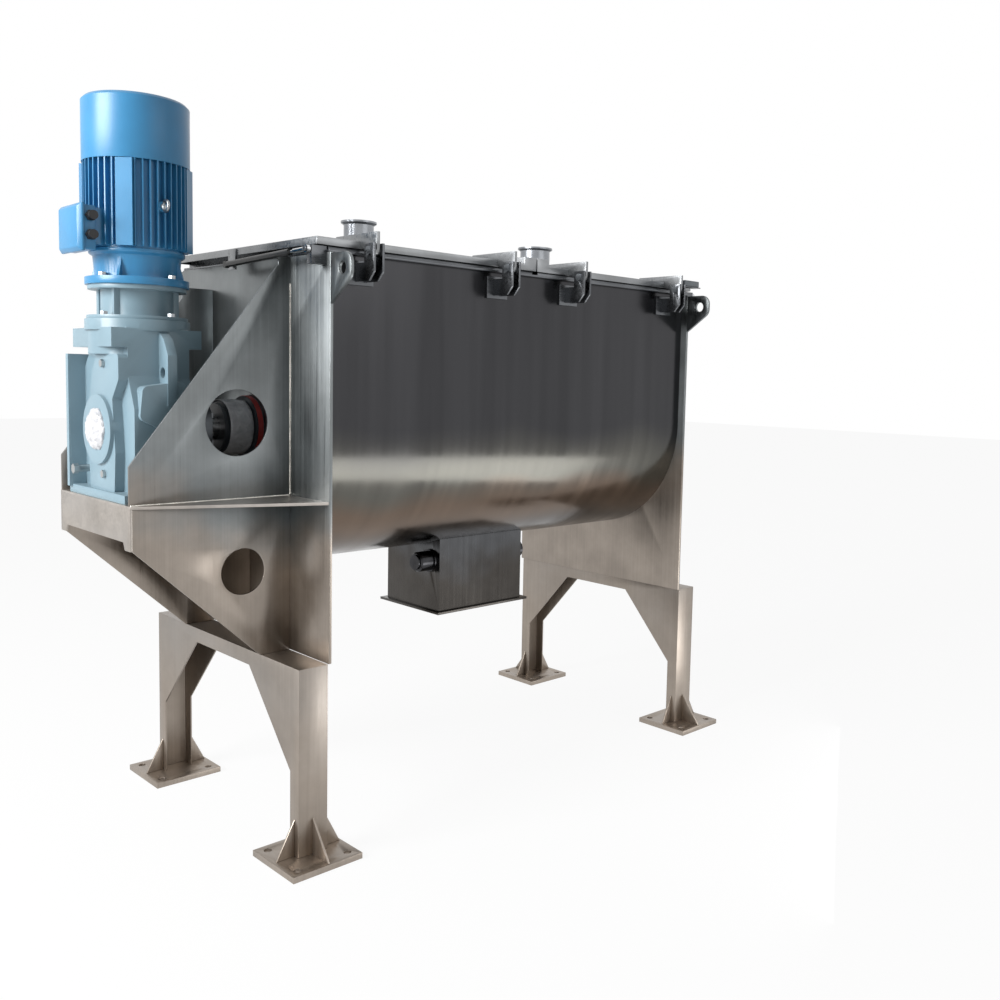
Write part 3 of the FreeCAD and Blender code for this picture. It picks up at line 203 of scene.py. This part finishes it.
def gloss_paint(name, colour, shade_colour, rough=0.32, orange_peel=0.0006, dust=0.12):
    """Sprayed alkyd enamel on cast iron or steel sheet.

    The sand casting shows through as a soft orange peel, and thin dust dulls the upper faces.
    """
    material, tree, output, place = new_material(name)
    patches = add(tree, "TexNoise", {"Scale": 7.0, "Detail": 3.0}, {"Vector": place})
    tone = add(tree, "MixRGB", {"Color1": shade_colour, "Color2": colour}, {"Fac": patches.outputs["Fac"]})
    facing = add(tree, "NewGeometry")
    split = add(tree, "SeparateXYZ", sources={"Vector": facing.outputs["Normal"]})
    settled = add(tree, "MapRange", {"From Min": 0.5, "From Max": 1.0, "To Min": 0.0, "To Max": dust},
                  {"Value": split.outputs["Z"]})
    dusty = add(tree, "MixRGB", {"Color2": linear("#b9c2c4")},
                {"Color1": tone.outputs["Color"], "Fac": settled.outputs["Result"]})
    peel = add(tree, "TexNoise", {"Scale": 260.0, "Detail": 3.0}, {"Vector": place})
    gloss = add(tree, "MapRange", {"To Min": rough - 0.06, "To Max": rough + 0.10},
                {"Value": patches.outputs["Fac"]})
    relief = add(tree, "Bump", {"Strength": 0.35, "Distance": orange_peel}, {"Height": peel.outputs["Fac"]})
    paint = add(tree, "BsdfPrincipled", {"IOR": 1.5},
                {"Base Color": dusty.outputs["Color"], "Roughness": gloss.outputs["Result"],
                 "Normal": relief.outputs["Normal"]})
    tree.links.new(paint.outputs["BSDF"], output.inputs["Surface"])
    return material


def turned_metal(name, tone, rough=0.25, metallic=1.0, spread=0.12):
    """Turned or drawn bright metal: tool marks a few tenths of a millimetre apart, drawn 3 mm apart."""
    material, tree, output, place = new_material(name)
    marks = add(tree, "TexNoise", {"Scale": 320.0, "Detail": 2.0}, {"Vector": place})
    patches = add(tree, "TexNoise", {"Scale": 24.0, "Detail": 3.0}, {"Vector": place})
    gain = add(tree, "MapRange", {"From Min": 0.3, "From Max": 0.7, "To Min": 1 - spread,
                                  "To Max": 1 + spread}, {"Value": patches.outputs["Fac"]})
    shade = add(tree, "VectorMath", {0: linear(tone)[:3]}, {"Scale": gain.outputs["Result"]},
                operation="SCALE")
    gloss = add(tree, "MapRange", {"To Min": rough - 0.08, "To Max": rough + 0.08},
                {"Value": marks.outputs["Fac"]})
    metal = add(tree, "BsdfPrincipled", {"Metallic": metallic},
                {"Base Color": shade.outputs["Vector"], "Roughness": gloss.outputs["Result"]})
    tree.links.new(metal.outputs["BSDF"], output.inputs["Surface"])
    return material


def moulded(name, tone, rough=0.5, pebble=900.0, depth=0.0003):
    """Moulded plastic or rubber with a fine spark-eroded skin."""
    material, tree, output, place = new_material(name)
    skin = add(tree, "TexNoise", {"Scale": pebble, "Detail": 2.0}, {"Vector": place})
    patches = add(tree, "TexNoise", {"Scale": 30.0, "Detail": 3.0}, {"Vector": place})
    dark = tuple(c * 0.75 for c in linear(tone)[:3]) + (1.0,)
    shade = add(tree, "MixRGB", {"Color1": dark, "Color2": linear(tone)}, {"Fac": patches.outputs["Fac"]})
    gloss = add(tree, "MapRange", {"To Min": rough - 0.08, "To Max": rough + 0.08},
                {"Value": patches.outputs["Fac"]})
    relief = add(tree, "Bump", {"Strength": 0.3, "Distance": depth}, {"Height": skin.outputs["Fac"]})
    plastic = add(tree, "BsdfPrincipled", {"IOR": 1.49},
                  {"Base Color": shade.outputs["Color"], "Roughness": gloss.outputs["Result"],
                   "Normal": relief.outputs["Normal"]})
    tree.links.new(plastic.outputs["BSDF"], output.inputs["Surface"])
    return material


def stretch_film(name):
    """Polyethylene stretch film in many layers: milky and glossy, with painted shade in its folds' hollows and
    a painted highlight on their crests.
    """
    material, tree, output, place = new_material(name)
    folds = add(tree, "TexNoise", {"Scale": 34.0, "Detail": 4.0, "Distortion": 1.2}, {"Vector": place})
    # painted shade and highlight: the tone follows the folds' relief, grey in the hollows and pale on the
    # crests
    tone = add(tree, "MixRGB", {"Color1": linear("#8f9095"), "Color2": linear("#dcdcde")},
               {"Fac": folds.outputs["Fac"]})
    relief = add(tree, "Bump", {"Strength": 0.7, "Distance": 0.004}, {"Height": folds.outputs["Fac"]})
    film = add(tree, "BsdfPrincipled", {"IOR": 1.5, "Roughness": 0.26, "Coat Weight": 0.4},
               {"Base Color": tone.outputs["Color"], "Normal": relief.outputs["Normal"]})
    tree.links.new(film.outputs["BSDF"], output.inputs["Surface"])
    return material


# ---------------------------------------------------------------- tools for making pieces

def only(piece):
    """Select one piece and make it active."""
    bpy.ops.object.select_all(action="DESELECT")
    piece.hide_set(False)
    piece.select_set(True)
    bpy.context.view_layer.objects.active = piece


def settle(piece):
    """Put a finished piece's place, turn and scale into its mesh."""
    only(piece)
    bpy.ops.object.transform_apply(location=True, rotation=True, scale=True)
    return piece


def dress(piece, name, material, body):
    """Name a finished piece, give it its finish and let it ride on its body."""
    settle(piece)
    piece.name = name
    piece.data.name = name
    piece.data.materials.clear()
    piece.data.materials.append(material)
    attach(piece, body)
    return piece


def finish_nodes(material, *names):
    """Give CAD nodes their finish."""
    for name in names:
        data = frame["nodes"][name].data
        data.materials.clear()
        data.materials.append(material)


def eased(node, width, material, segments=2, angle=32):
    """Stand a copy of a plate or casting in for its node, with its sharp edges eased by width."""
    source = frame["nodes"][node]
    only(source)
    bpy.ops.object.duplicate()
    copy = bpy.context.active_object
    copy.parent = None
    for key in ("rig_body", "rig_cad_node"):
        del copy[key]
    bpy.ops.object.mode_set(mode="EDIT")
    bpy.ops.mesh.select_all(action="SELECT")
    bpy.ops.mesh.remove_doubles(threshold=0.00002)
    bpy.ops.mesh.customdata_custom_splitnormals_clear()
    bpy.ops.mesh.dissolve_limited(angle_limit=math.radians(0.6))
    bpy.ops.object.mode_set(mode="OBJECT")
    rounding = copy.modifiers.new("Eased edges", "BEVEL")
    rounding.width = width
    rounding.segments = segments
    rounding.limit_method = "ANGLE"
    rounding.angle_limit = math.radians(angle)
    bpy.ops.object.modifier_apply(modifier=rounding.name)
    bpy.ops.object.shade_smooth_by_angle(angle=math.radians(30))
    body = source["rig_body"]
    dress(copy, node + "_eased", material, body)
    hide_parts(node)
    return copy


def weld_seam(name, points, radius, material, body):
    """A bead of overlapping scallops laid along a line of points."""
    line = bpy.data.curves.new(name + "_line", "CURVE")
    line.dimensions = "3D"
    run = line.splines.new("POLY")
    run.points.add(len(points) - 1)
    for spot, point in zip(run.points, points):
        spot.co = (*point, 1.0)
    path = bpy.data.objects.new(name + "_line", line)
    bpy.context.scene.collection.objects.link(path)
    bpy.ops.object.select_all(action="DESELECT")
    bpy.ops.mesh.primitive_uv_sphere_add(segments=8, ring_count=6, radius=radius,
                                         rotation=(0, math.pi / 2, 0))
    bead = bpy.context.active_object
    bpy.ops.object.transform_apply(location=True, rotation=True, scale=True)
    bpy.ops.object.mode_set(mode="EDIT")
    bpy.ops.mesh.select_all(action="SELECT")
    bpy.ops.transform.resize(value=(0.75, 1, 1), center_override=(0, 0, 0))
    bpy.ops.object.mode_set(mode="OBJECT")
    row = bead.modifiers.new("Scallops", "ARRAY")
    row.fit_type = "FIT_CURVE"
    row.curve = path
    row.use_relative_offset = False
    row.use_constant_offset = True
    row.constant_offset_displace = (radius * 1.15, 0, 0)
    follow = bead.modifiers.new("Along the joint", "CURVE")
    follow.object = path
    bpy.ops.object.modifier_apply(modifier=row.name)
    bpy.ops.object.modifier_apply(modifier=follow.name)
    bpy.ops.object.shade_smooth()
    bpy.data.objects.remove(path)
    return dress(bead, name, material, body)


def box_of(node):
    """The low and high corners of a CAD node, in metres."""
    corners = [frame["nodes"][node].matrix_world @ v.co for v in frame["nodes"][node].data.vertices]
    return tuple(tuple(pick(c[i] for c in corners) for i in range(3)) for pick in (min, max))


def thicken(piece, thickness):
    """Give an open skin a wall, half of it on each side."""
    only(piece)
    wall = piece.modifiers.new("Wall", "SOLIDIFY")
    wall.thickness = thickness
    wall.offset = 0
    bpy.ops.object.modifier_apply(modifier=wall.name)


def crumple(piece, depth, size):
    """Push a finely divided skin in and out, as film that was pulled tight by hand."""
    only(piece)
    creases = bpy.data.textures.new(piece.name + "_creases", "CLOUDS")
    creases.noise_scale = size
    creases.noise_depth = 3
    push = piece.modifiers.new("Creases", "DISPLACE")
    push.texture = creases
    push.strength = depth
    push.mid_level = 0.5
    bpy.ops.object.modifier_apply(modifier=push.name)
    bpy.ops.object.shade_smooth()


def open_ring(middle_x, radius, width):
    """A band about the main shaft's axis, without end faces."""
    bpy.ops.object.select_all(action="DESELECT")
    bpy.ops.mesh.primitive_cylinder_add(vertices=96, radius=radius, depth=width, end_fill_type="NOTHING",
                                        location=(middle_x, 0, SHAFT_Z), rotation=(0, math.pi / 2, 0))
    return bpy.context.active_object


def film_sleeve(film):
    """Film wound round the barrel of the drive-side bearing housing, between its flange and its cover."""
    barrel_start, face_gap, radius = 34 * MM, 3 * MM, 96 * MM
    outer, inner = box_of("bearing_housings")[0][0] + face_gap, DRIVE_PLATE_X - barrel_start
    sleeve = open_ring((outer + inner) / 2, radius, inner - outer)
    only(sleeve)
    bpy.ops.object.mode_set(mode="EDIT")
    bpy.ops.mesh.select_all(action="SELECT")
    bpy.ops.mesh.subdivide(number_cuts=9)
    bpy.ops.object.mode_set(mode="OBJECT")
    settle(sleeve)
    crumple(sleeve, 6 * MM, 22 * MM)
    thicken(sleeve, 1 * MM)
    dress(sleeve, "bearing_film_sleeve", film, "frame")


def film_cap(film):
    """Crumpled film that covers the gear unit's output cap."""
    low, high = box_of("gear_output_cap")
    centre, radius, flatness = (high[0], 0, SHAFT_Z), (high[1] - low[1]) / 2 + 2 * MM, 0.34
    bpy.ops.object.select_all(action="DESELECT")
    bpy.ops.mesh.primitive_ico_sphere_add(subdivisions=6, radius=radius, location=centre)
    cap = bpy.context.active_object
    bpy.ops.object.mode_set(mode="EDIT")
    bpy.ops.mesh.select_all(action="SELECT")
    bpy.ops.transform.resize(value=(flatness, 1, 1), center_override=centre)
    bpy.ops.object.mode_set(mode="OBJECT")
    settle(cap)
    crumple(cap, 16 * MM, 30 * MM)
    dress(cap, "gear_film_cap", film, "frame")
    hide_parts("gear_output_cap")


def shape_box(low, high, edge, name, material):
    """A small rectangular fitting on the frame with rounded edges."""
    bpy.ops.object.select_all(action="DESELECT")
    middle = [(a + b) / 2 for a, b in zip(low, high)]
    bpy.ops.mesh.primitive_cube_add(size=1, location=middle, scale=[b - a for a, b in zip(low, high)])
    piece = settle(bpy.context.active_object)
    rounding = piece.modifiers.new("Rounded edges", "BEVEL")
    rounding.width = edge
    rounding.segments = 3
    bpy.ops.object.modifier_apply(modifier=rounding.name)
    bpy.ops.object.shade_smooth_by_angle(angle=math.radians(35))
    return dress(piece, name, material, "frame")


# ---------------------------------------------------------------- settings

class SheetSettings(bpy.types.PropertyGroup):
    """Sizes and tones of the sheet metal."""
    edge_round: bpy.props.FloatProperty(
        name="Eased edge", description="How far a plate's sharp edges are ground off",
        default=1.8 * MM, min=0.2 * MM, max=6 * MM, unit="LENGTH")
    cast_round: bpy.props.FloatProperty(
        name="Casting radius", description="Radius on the gear unit's cast edges",
        default=3.5 * MM, min=0.5 * MM, max=10 * MM, unit="LENGTH")
    bead_radius: bpy.props.FloatProperty(
        name="Weld bead", description="Radius of the weld beads",
        default=4 * MM, min=1 * MM, max=10 * MM, unit="LENGTH")
    trough_tone: bpy.props.FloatVectorProperty(
        name="Trough tone", description="Tone of the trough's polished walls",
        default=linear("#434345")[:3], subtype="COLOR", min=0, max=1)


class PaintSettings(bpy.types.PropertyGroup):
    """Colours of the painted pieces."""
    motor_paint: bpy.props.FloatVectorProperty(
        name="Motor paint", description="Enamel on the motor",
        default=linear("#3b88b8")[:3], subtype="COLOR", min=0, max=1)
    gear_paint: bpy.props.FloatVectorProperty(
        name="Gear unit paint", description="Enamel on the gear unit",
        default=linear("#7f98a4")[:3], subtype="COLOR", min=0, max=1)


# ---------------------------------------------------------------- pieces

def sheet_materials():
    """The sheet metal's finishes, made once and shared."""
    made = {}
    made["upright"] = stainless_sheet("ground_stainless_plate", "#978e85", "#7b7f80", (1.0, 1.35),
                                      (120.0, 120.0, 1.2))
    made["legs"] = stainless_sheet("ground_stainless_legs", "#9e948a", "#918b85", (0.2, 0.9),
                                   (110.0, 110.0, 1.5), rough=0.38, cloud=0.12)
    made["level"] = stainless_sheet("ground_stainless_shelf", "#b2aba3", "#b5afa9", (0.9, 1.3),
                                    (2.0, 90.0, 90.0), rough=0.36)
    made["lid"] = stainless_sheet("ground_stainless_lid", "#8a8c8d", "#8f9193", (1.8, 2.1),
                                  (1.5, 90.0, 90.0), rough=0.3, cloud=0.2)
    made["spout"] = stainless_sheet("ground_stainless_spout", "#4a4744", "#57585a", (0.7, 0.95),
                                    (90.0, 90.0, 1.4), rough=0.24, cloud=0.2)
    made["bright"] = turned_metal("bright_stainless", "#b4b8bc", rough=0.2)
    made["rim"] = stainless_sheet("ground_stainless_rim", "#65676a", "#6d6f72", (1.9, 2.1),
                                  (1.5, 90.0, 90.0), rough=0.28, cloud=0.2)
    made["stub"] = turned_metal("drawn_stainless_stub", "#8f9296", rough=0.28)
    made["bead"] = turned_metal("weld_bead_stainless", "#c9c6bf", rough=0.3, spread=0.3)
    return made


FINISHES = {}


class BLENDER_OT_sheet_metal(bpy.types.Operator):
    """Ease the plates' edges and give the sheet metal its ground finish."""
    bl_idname = "ribbon_blender.sheet_metal"
    bl_label = "Sheet metal"

    def execute(self, context):
        sizes = context.scene.ribbon_sheet
        FINISHES.update(sheet_materials())
        plan = {"upright": ("drive_end_plate", "far_end_plate", "upper_side_plates", "lower_side_plates",
                            "lifting_ears"),
                "legs": ("drive_leg_portal", "far_leg_portal", "foot_plates", "foot_ribs"),
                "level": ("drive_shelf",), "rim": ("rim_frame", "hinge_lugs", "gas_spring_anchors")}
        for finish, nodes in plan.items():
            for node in nodes:
                eased(node, sizes.edge_round, FINISHES[finish])
        finish_nodes(mirror_sheet("mirror_rolled_stainless", sizes), "trough_shell")
        finish_nodes(FINISHES["bright"], "hinge_pins")
        return {"FINISHED"}


class BLENDER_OT_lids(bpy.types.Operator):
    """Finish the two lids with their arms, seals, handles and inlets."""
    bl_idname = "ribbon_blender.lids"
    bl_label = "Lids"

    def execute(self, context):
        sizes = context.scene.ribbon_sheet
        seal = moulded("silicone_sponge", "#e4e2da", rough=0.6)
        for number in (1, 2):
            for part in ("", "_brackets"):
                eased("lid_%d%s" % (number, part), sizes.edge_round, FINISHES["lid"])
            finish_nodes(seal, "lid_%d_gasket" % number)
            finish_nodes(FINISHES["bright"], "lid_%d_handle" % number)
            finish_nodes(FINISHES["stub"], "inlet_%d" % number)
        return {"FINISHED"}


class BLENDER_OT_gas_springs(bpy.types.Operator):
    """Finish the gas springs."""
    bl_idname = "ribbon_blender.gas_springs"
    bl_label = "Gas springs"

    def execute(self, context):
        chrome = turned_metal("hard_chrome_rod", "#d6d8da", rough=0.12)
        black = gloss_paint("black_stove_enamel", linear("#151617"), linear("#0c0d0e"), dust=0.02)
        for number in (1, 2):
            finish_nodes(chrome, "gas_spring_%d_rod" % number)
            finish_nodes(black, "gas_spring_%d_tube" % number)
        return {"FINISHED"}


class BLENDER_OT_agitator(bpy.types.Operator):
    """Finish the shaft, spokes, ribbons, coupling, bearings and seals."""
    bl_idname = "ribbon_blender.agitator"
    bl_label = "Agitator"

    def execute(self, context):
        polished = turned_metal("polished_stainless_ribbon", "#b9babb", rough=0.22)
        iron = turned_metal("machined_grey_iron", "#4c4f52", rough=0.42, spread=0.2)
        finish_nodes(polished, "main_shaft", "ribbon_spokes", "outer_ribbon", "inner_ribbon")
        finish_nodes(iron, "coupling_shaft_half", "coupling_gear_half", "shaft_bearings")
        finish_nodes(gloss_paint("grey_machine_enamel", linear("#3b4045"), linear("#2b2f33")),
                     "bearing_housings", "bearing_covers")
        finish_nodes(moulded("red_silicone", "#a8302c", rough=0.4), "shaft_seals")
        finish_nodes(turned_metal("zinc_plated_steel", "#6d7073", rough=0.35), "coupling_bolts")
        return {"FINISHED"}


class BLENDER_OT_discharge(bpy.types.Operator):
    """Finish the spout, its flap and the valve's drive."""
    bl_idname = "ribbon_blender.discharge"
    bl_label = "Discharge"

    def execute(self, context):
        sizes = context.scene.ribbon_sheet
        eased("discharge_hopper", sizes.edge_round, FINISHES["spout"])
        finish_nodes(FINISHES["spout"], "discharge_flap")
        finish_nodes(turned_metal("turned_stainless_valve", "#3b3b3d", rough=0.22, spread=0.3),
                     "valve_spindle", "valve_bearing", "valve_actuator")
        return {"FINISHED"}


class BLENDER_OT_motor(bpy.types.Operator):
    """Paint the motor and finish its fan, glands and bolts."""
    bl_idname = "ribbon_blender.motor"
    bl_label = "Motor"

    def execute(self, context):
        colour = context.scene.ribbon_paint.motor_paint[:]
        deep = tuple(c * 0.7 for c in colour)
        paint = gloss_paint("blue_machine_enamel", colour + (1.0,), deep + (1.0,), rough=0.3)
        finish_nodes(paint, "motor_frame")
        for node in ("motor_flange_shield", "fan_cowl", "terminal_box", "terminal_box_lid"):
            eased(node, 2 * MM, paint)
        finish_nodes(moulded("black_nylon", "#141416", rough=0.45), "motor_fan", "cable_glands")
        finish_nodes(turned_metal("ground_shaft_steel", "#8b8d90"), "motor_shaft")
        finish_nodes(turned_metal("zinc_plated_bolt", "#8f9396", rough=0.3), "eye_bolt", "drive_bolts")
        return {"FINISHED"}


class BLENDER_OT_film(bpy.types.Operator):
    """Wrap the drive-side bearing in film and show the edge of its red flange gasket."""
    bl_idname = "ribbon_blender.film"
    bl_label = "Film wrap"

    def execute(self, context):
        FINISHES["film"] = stretch_film("stretch_film_wrap")
        film_sleeve(FINISHES["film"])
        gasket = moulded("red_flange_gasket", "#a8302c", rough=0.4)
        flange_middle, flange_radius, width = DRIVE_PLATE_X - 13 * MM, 109 * MM, 18 * MM
        ring = open_ring(flange_middle, flange_radius, width)
        thicken(ring, 2 * MM)
        dress(ring, "bearing_flange_gasket_edge", gasket, "frame")
        return {"FINISHED"}


class BLENDER_OT_welds(bpy.types.Operator):
    """Lay the weld beads that join the side plates, the shelf and the trough to the drive end plate."""
    bl_idname = "ribbon_blender.welds"
    bl_label = "Weld beads"

    def execute(self, context):
        radius = context.scene.ribbon_sheet.bead_radius
        steel = FINISHES["bead"]
        shelf_low, shelf_high = box_of("drive_shelf")
        shelf_top, shelf_front = shelf_high[2], shelf_low[0]
        low, high = box_of("upper_side_plates")
        trough_low, trough_high = box_of("trough_shell")
        for tag, side in (("near", low[1]), ("rear", high[1])):
            upright = [(DRIVE_PLATE_X, side, shelf_top + 5 * MM), (DRIVE_PLATE_X, side, high[2] - 90 * MM)]
            weld_seam("side_plate_weld_" + tag, upright, radius, steel, "frame")
            along = [(shelf_front + 6 * MM, side, shelf_top), (DRIVE_PLATE_X - 4 * MM, side, shelf_top)]
            weld_seam("shelf_weld_" + tag, along, radius, steel, "frame")
        start, reach, head = trough_low[0], trough_high[1], trough_high[2] - 10 * MM
        arc = [(start, -reach, head)]
        arc += [(start, -reach * math.cos(math.radians(step)), SHAFT_Z - reach * math.sin(math.radians(step)))
                for step in range(0, 181, 4)]
        arc.append((start, reach, head))
        weld_seam("trough_weld_drive_end", arc, radius, steel, "frame")
        return {"FINISHED"}


class BLENDER_OT_interlock(bpy.types.Operator):
    """Stand the lid's interlock switch on its bracket beside the last hinge."""
    bl_idname = "ribbon_blender.interlock"
    bl_label = "Interlock switch"

    def execute(self, context):
        pad_beyond_cheek, seat, thickness = 29 * MM, HINGE_Z + 15 * MM, 4 * MM
        start = box_of("hinge_lugs")[1][0] - pad_beyond_cheek
        shape_box((start, HINGE_Y - 18 * MM, seat), (start + 118 * MM, HINGE_Y + 18 * MM, seat + thickness),
                  0.8 * MM, "interlock_bracket", FINISHES["rim"])
        switch = moulded("grey_switch_housing", "#7d8388", rough=0.4)
        base = seat + thickness
        shape_box((start + 12 * MM, HINGE_Y - 14 * MM, base),
                  (start + 112 * MM, HINGE_Y + 14 * MM, base + 26 * MM),
                  3 * MM, "interlock_switch", switch)
        return {"FINISHED"}


class BLENDER_OT_gear_unit(bpy.types.Operator):
    """Paint the gear unit and wrap its output cap in film."""
    bl_idname = "ribbon_blender.gear_unit"
    bl_label = "Gear unit"

    def execute(self, context):
        sizes = context.scene.ribbon_sheet
        colour = context.scene.ribbon_paint.gear_paint[:]
        deep = tuple(c * 0.78 for c in colour)
        paint = gloss_paint("grey_blue_machine_enamel", colour + (1.0,), deep + (1.0,), rough=0.34)
        eased("gear_housing", sizes.cast_round, paint, segments=3)
        eased("motor_lantern", sizes.cast_round, paint)
        finish_nodes(turned_metal("zinc_plated_plug", "#b9bcbc", rough=0.35), "gear_fasteners")
        film_cap(FINISHES["film"])
        return {"FINISHED"}


# ---------------------------------------------------------------- stage

class BLENDER_OT_stage(bpy.types.Operator):
    """Set the pale floor, the soft lamps and the camera."""
    bl_idname = "ribbon_blender.stage"
    bl_label = "Stage"

    def execute(self, context):
        scene = context.scene
        scene.view_settings.view_transform = "Standard"
        lay_floor()
        light_world(scene)
        hang_lamp("key", (-6.0, 0.2, 3.6), (-0.6, 0.0, 1.3), (3.0, 3.0), 520)
        hang_lamp("front", (1.5, -6.0, 3.5), (0.3, 0.0, 1.2), (4.0, 2.5), 25)
        hang_lamp("turn", (0.95, -1.5, 0.04), (0.3, -0.3, 1.1), (1.8, 1.3), 24)
        place_camera(scene)
        return {"FINISHED"}


def lay_floor():
    """A pale floor, bright by itself to the camera and in reflections, that still takes a soft shadow."""
    bpy.ops.object.select_all(action="DESELECT")
    bpy.ops.mesh.primitive_plane_add(size=60, location=(0, 0, -0.0005))
    floor = bpy.context.active_object
    floor.name = "stage_floor"
    material, tree, output, place = new_material("pale_floor")
    path = add(tree, "LightPath")
    seen = add(tree, "Math", sources={0: path.outputs["Is Camera Ray"], 1: path.outputs["Is Glossy Ray"]},
               operation="MAXIMUM")
    share = add(tree, "Math", {1: 0.93}, {0: seen.outputs["Value"]}, operation="MULTIPLY")
    mottle = add(tree, "TexNoise", {"Scale": 0.8, "Detail": 2.0}, {"Vector": place})
    tone = add(tree, "MixRGB", {"Color1": linear("#f4f4f4"), "Color2": linear("#fbfbfb")},
               {"Fac": mottle.outputs["Fac"]})
    matt = add(tree, "BsdfDiffuse", sources={"Color": tone.outputs["Color"]})
    glow = add(tree, "Emission", {"Color": (1, 1, 1, 1), "Strength": 1.0})
    both = add(tree, "MixShader", sources={0: share.outputs["Value"], 1: matt.outputs["BSDF"],
                                           2: glow.outputs["Emission"]})
    tree.links.new(both.outputs["Shader"], output.inputs["Surface"])
    floor.data.materials.append(material)


def light_world(scene):
    """White to the camera and in reflections, and a level grey fill on everything else."""
    world = bpy.data.worlds.new("studio")
    world.use_nodes = True
    tree = world.node_tree
    tree.nodes.clear()
    path = add(tree, "LightPath")
    first = add(tree, "Math", sources={0: path.outputs["Is Camera Ray"], 1: path.outputs["Is Glossy Ray"]},
                operation="MAXIMUM")
    seen = add(tree, "Math", sources={0: first.outputs["Value"], 1: path.outputs["Is Transmission Ray"]},
               operation="MAXIMUM")
    level = add(tree, "MapRange", {"To Min": 0.24, "To Max": 1.0}, {"Value": seen.outputs["Value"]})
    sky = add(tree, "Background", {"Color": (1, 1, 1, 1)}, {"Strength": level.outputs["Result"]})
    output = add(tree, "OutputWorld", sources={"Surface": sky.outputs["Background"]})
    output.is_active_output = True
    scene.world = world


def hang_lamp(name, place, aim, size, power):
    """A rectangular lamp at a place, facing a point, that the camera doesn't see."""
    lamp = bpy.data.lights.new(name, "AREA")
    lamp.shape = "RECTANGLE"
    lamp.size, lamp.size_y = size
    lamp.energy = power
    holder = bpy.data.objects.new(name, lamp)
    bpy.context.scene.collection.objects.link(holder)
    holder.location = place
    holder.rotation_euler = (Vector(aim) - Vector(place)).to_track_quat("-Z", "Y").to_euler()
    holder.visible_camera = False
    return holder


def place_camera(scene):
    """A camera at standing height, off the drive end's corner."""
    lens = bpy.data.cameras.new("corner_camera")
    lens.sensor_width = 36
    lens.lens = CAMERA_LENS
    lens.shift_x, lens.shift_y = CAMERA_SHIFT
    lens.clip_end = 100
    camera = bpy.data.objects.new("corner_camera", lens)
    scene.collection.objects.link(camera)
    turn = (Matrix.Rotation(math.radians(CAMERA_PAN), 4, "Z")
            @ Matrix.Rotation(math.radians(90 + CAMERA_TILT), 4, "X")
            @ Matrix.Rotation(math.radians(CAMERA_ROLL), 4, "Z"))
    camera.matrix_world = Matrix.Translation(CAMERA_PLACE) @ turn
    scene.camera = camera


# ---------------------------------------------------------------- add-on

OPERATORS = (BLENDER_OT_sheet_metal, BLENDER_OT_lids, BLENDER_OT_gas_springs, BLENDER_OT_agitator,
             BLENDER_OT_discharge, BLENDER_OT_motor, BLENDER_OT_film, BLENDER_OT_gear_unit, BLENDER_OT_welds,
             BLENDER_OT_interlock, BLENDER_OT_stage)


class BLENDER_PT_panel(bpy.types.Panel):
    """Lists the operators and settings in the 3D view's sidebar."""
    bl_idname = "BLENDER_PT_ribbon_blender"
    bl_label = "Ribbon Blender"
    bl_space_type = "VIEW_3D"
    bl_region_type = "UI"
    bl_category = "Ribbon Blender"

    def draw(self, context):
        for group in (context.scene.ribbon_sheet, context.scene.ribbon_paint):
            for name in group.__annotations__:
                self.layout.prop(group, name)
        for operator in OPERATORS:
            self.layout.operator(operator.bl_idname)


CLASSES = (SheetSettings, PaintSettings) + OPERATORS + (BLENDER_PT_panel,)


def register():
    for entry in CLASSES:
        bpy.utils.register_class(entry)
    bpy.types.Scene.ribbon_sheet = bpy.props.PointerProperty(type=SheetSettings)
    bpy.types.Scene.ribbon_paint = bpy.props.PointerProperty(type=PaintSettings)


def unregister():
    del bpy.types.Scene.ribbon_paint
    del bpy.types.Scene.ribbon_sheet
    for entry in reversed(CLASSES):
        bpy.utils.unregister_class(entry)


def main():
    register()
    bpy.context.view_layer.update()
    for operator in OPERATORS:
        family, verb = operator.bl_idname.split(".")
        getattr(getattr(bpy.ops, family), verb)()


if __name__ == "__main__":
    main()
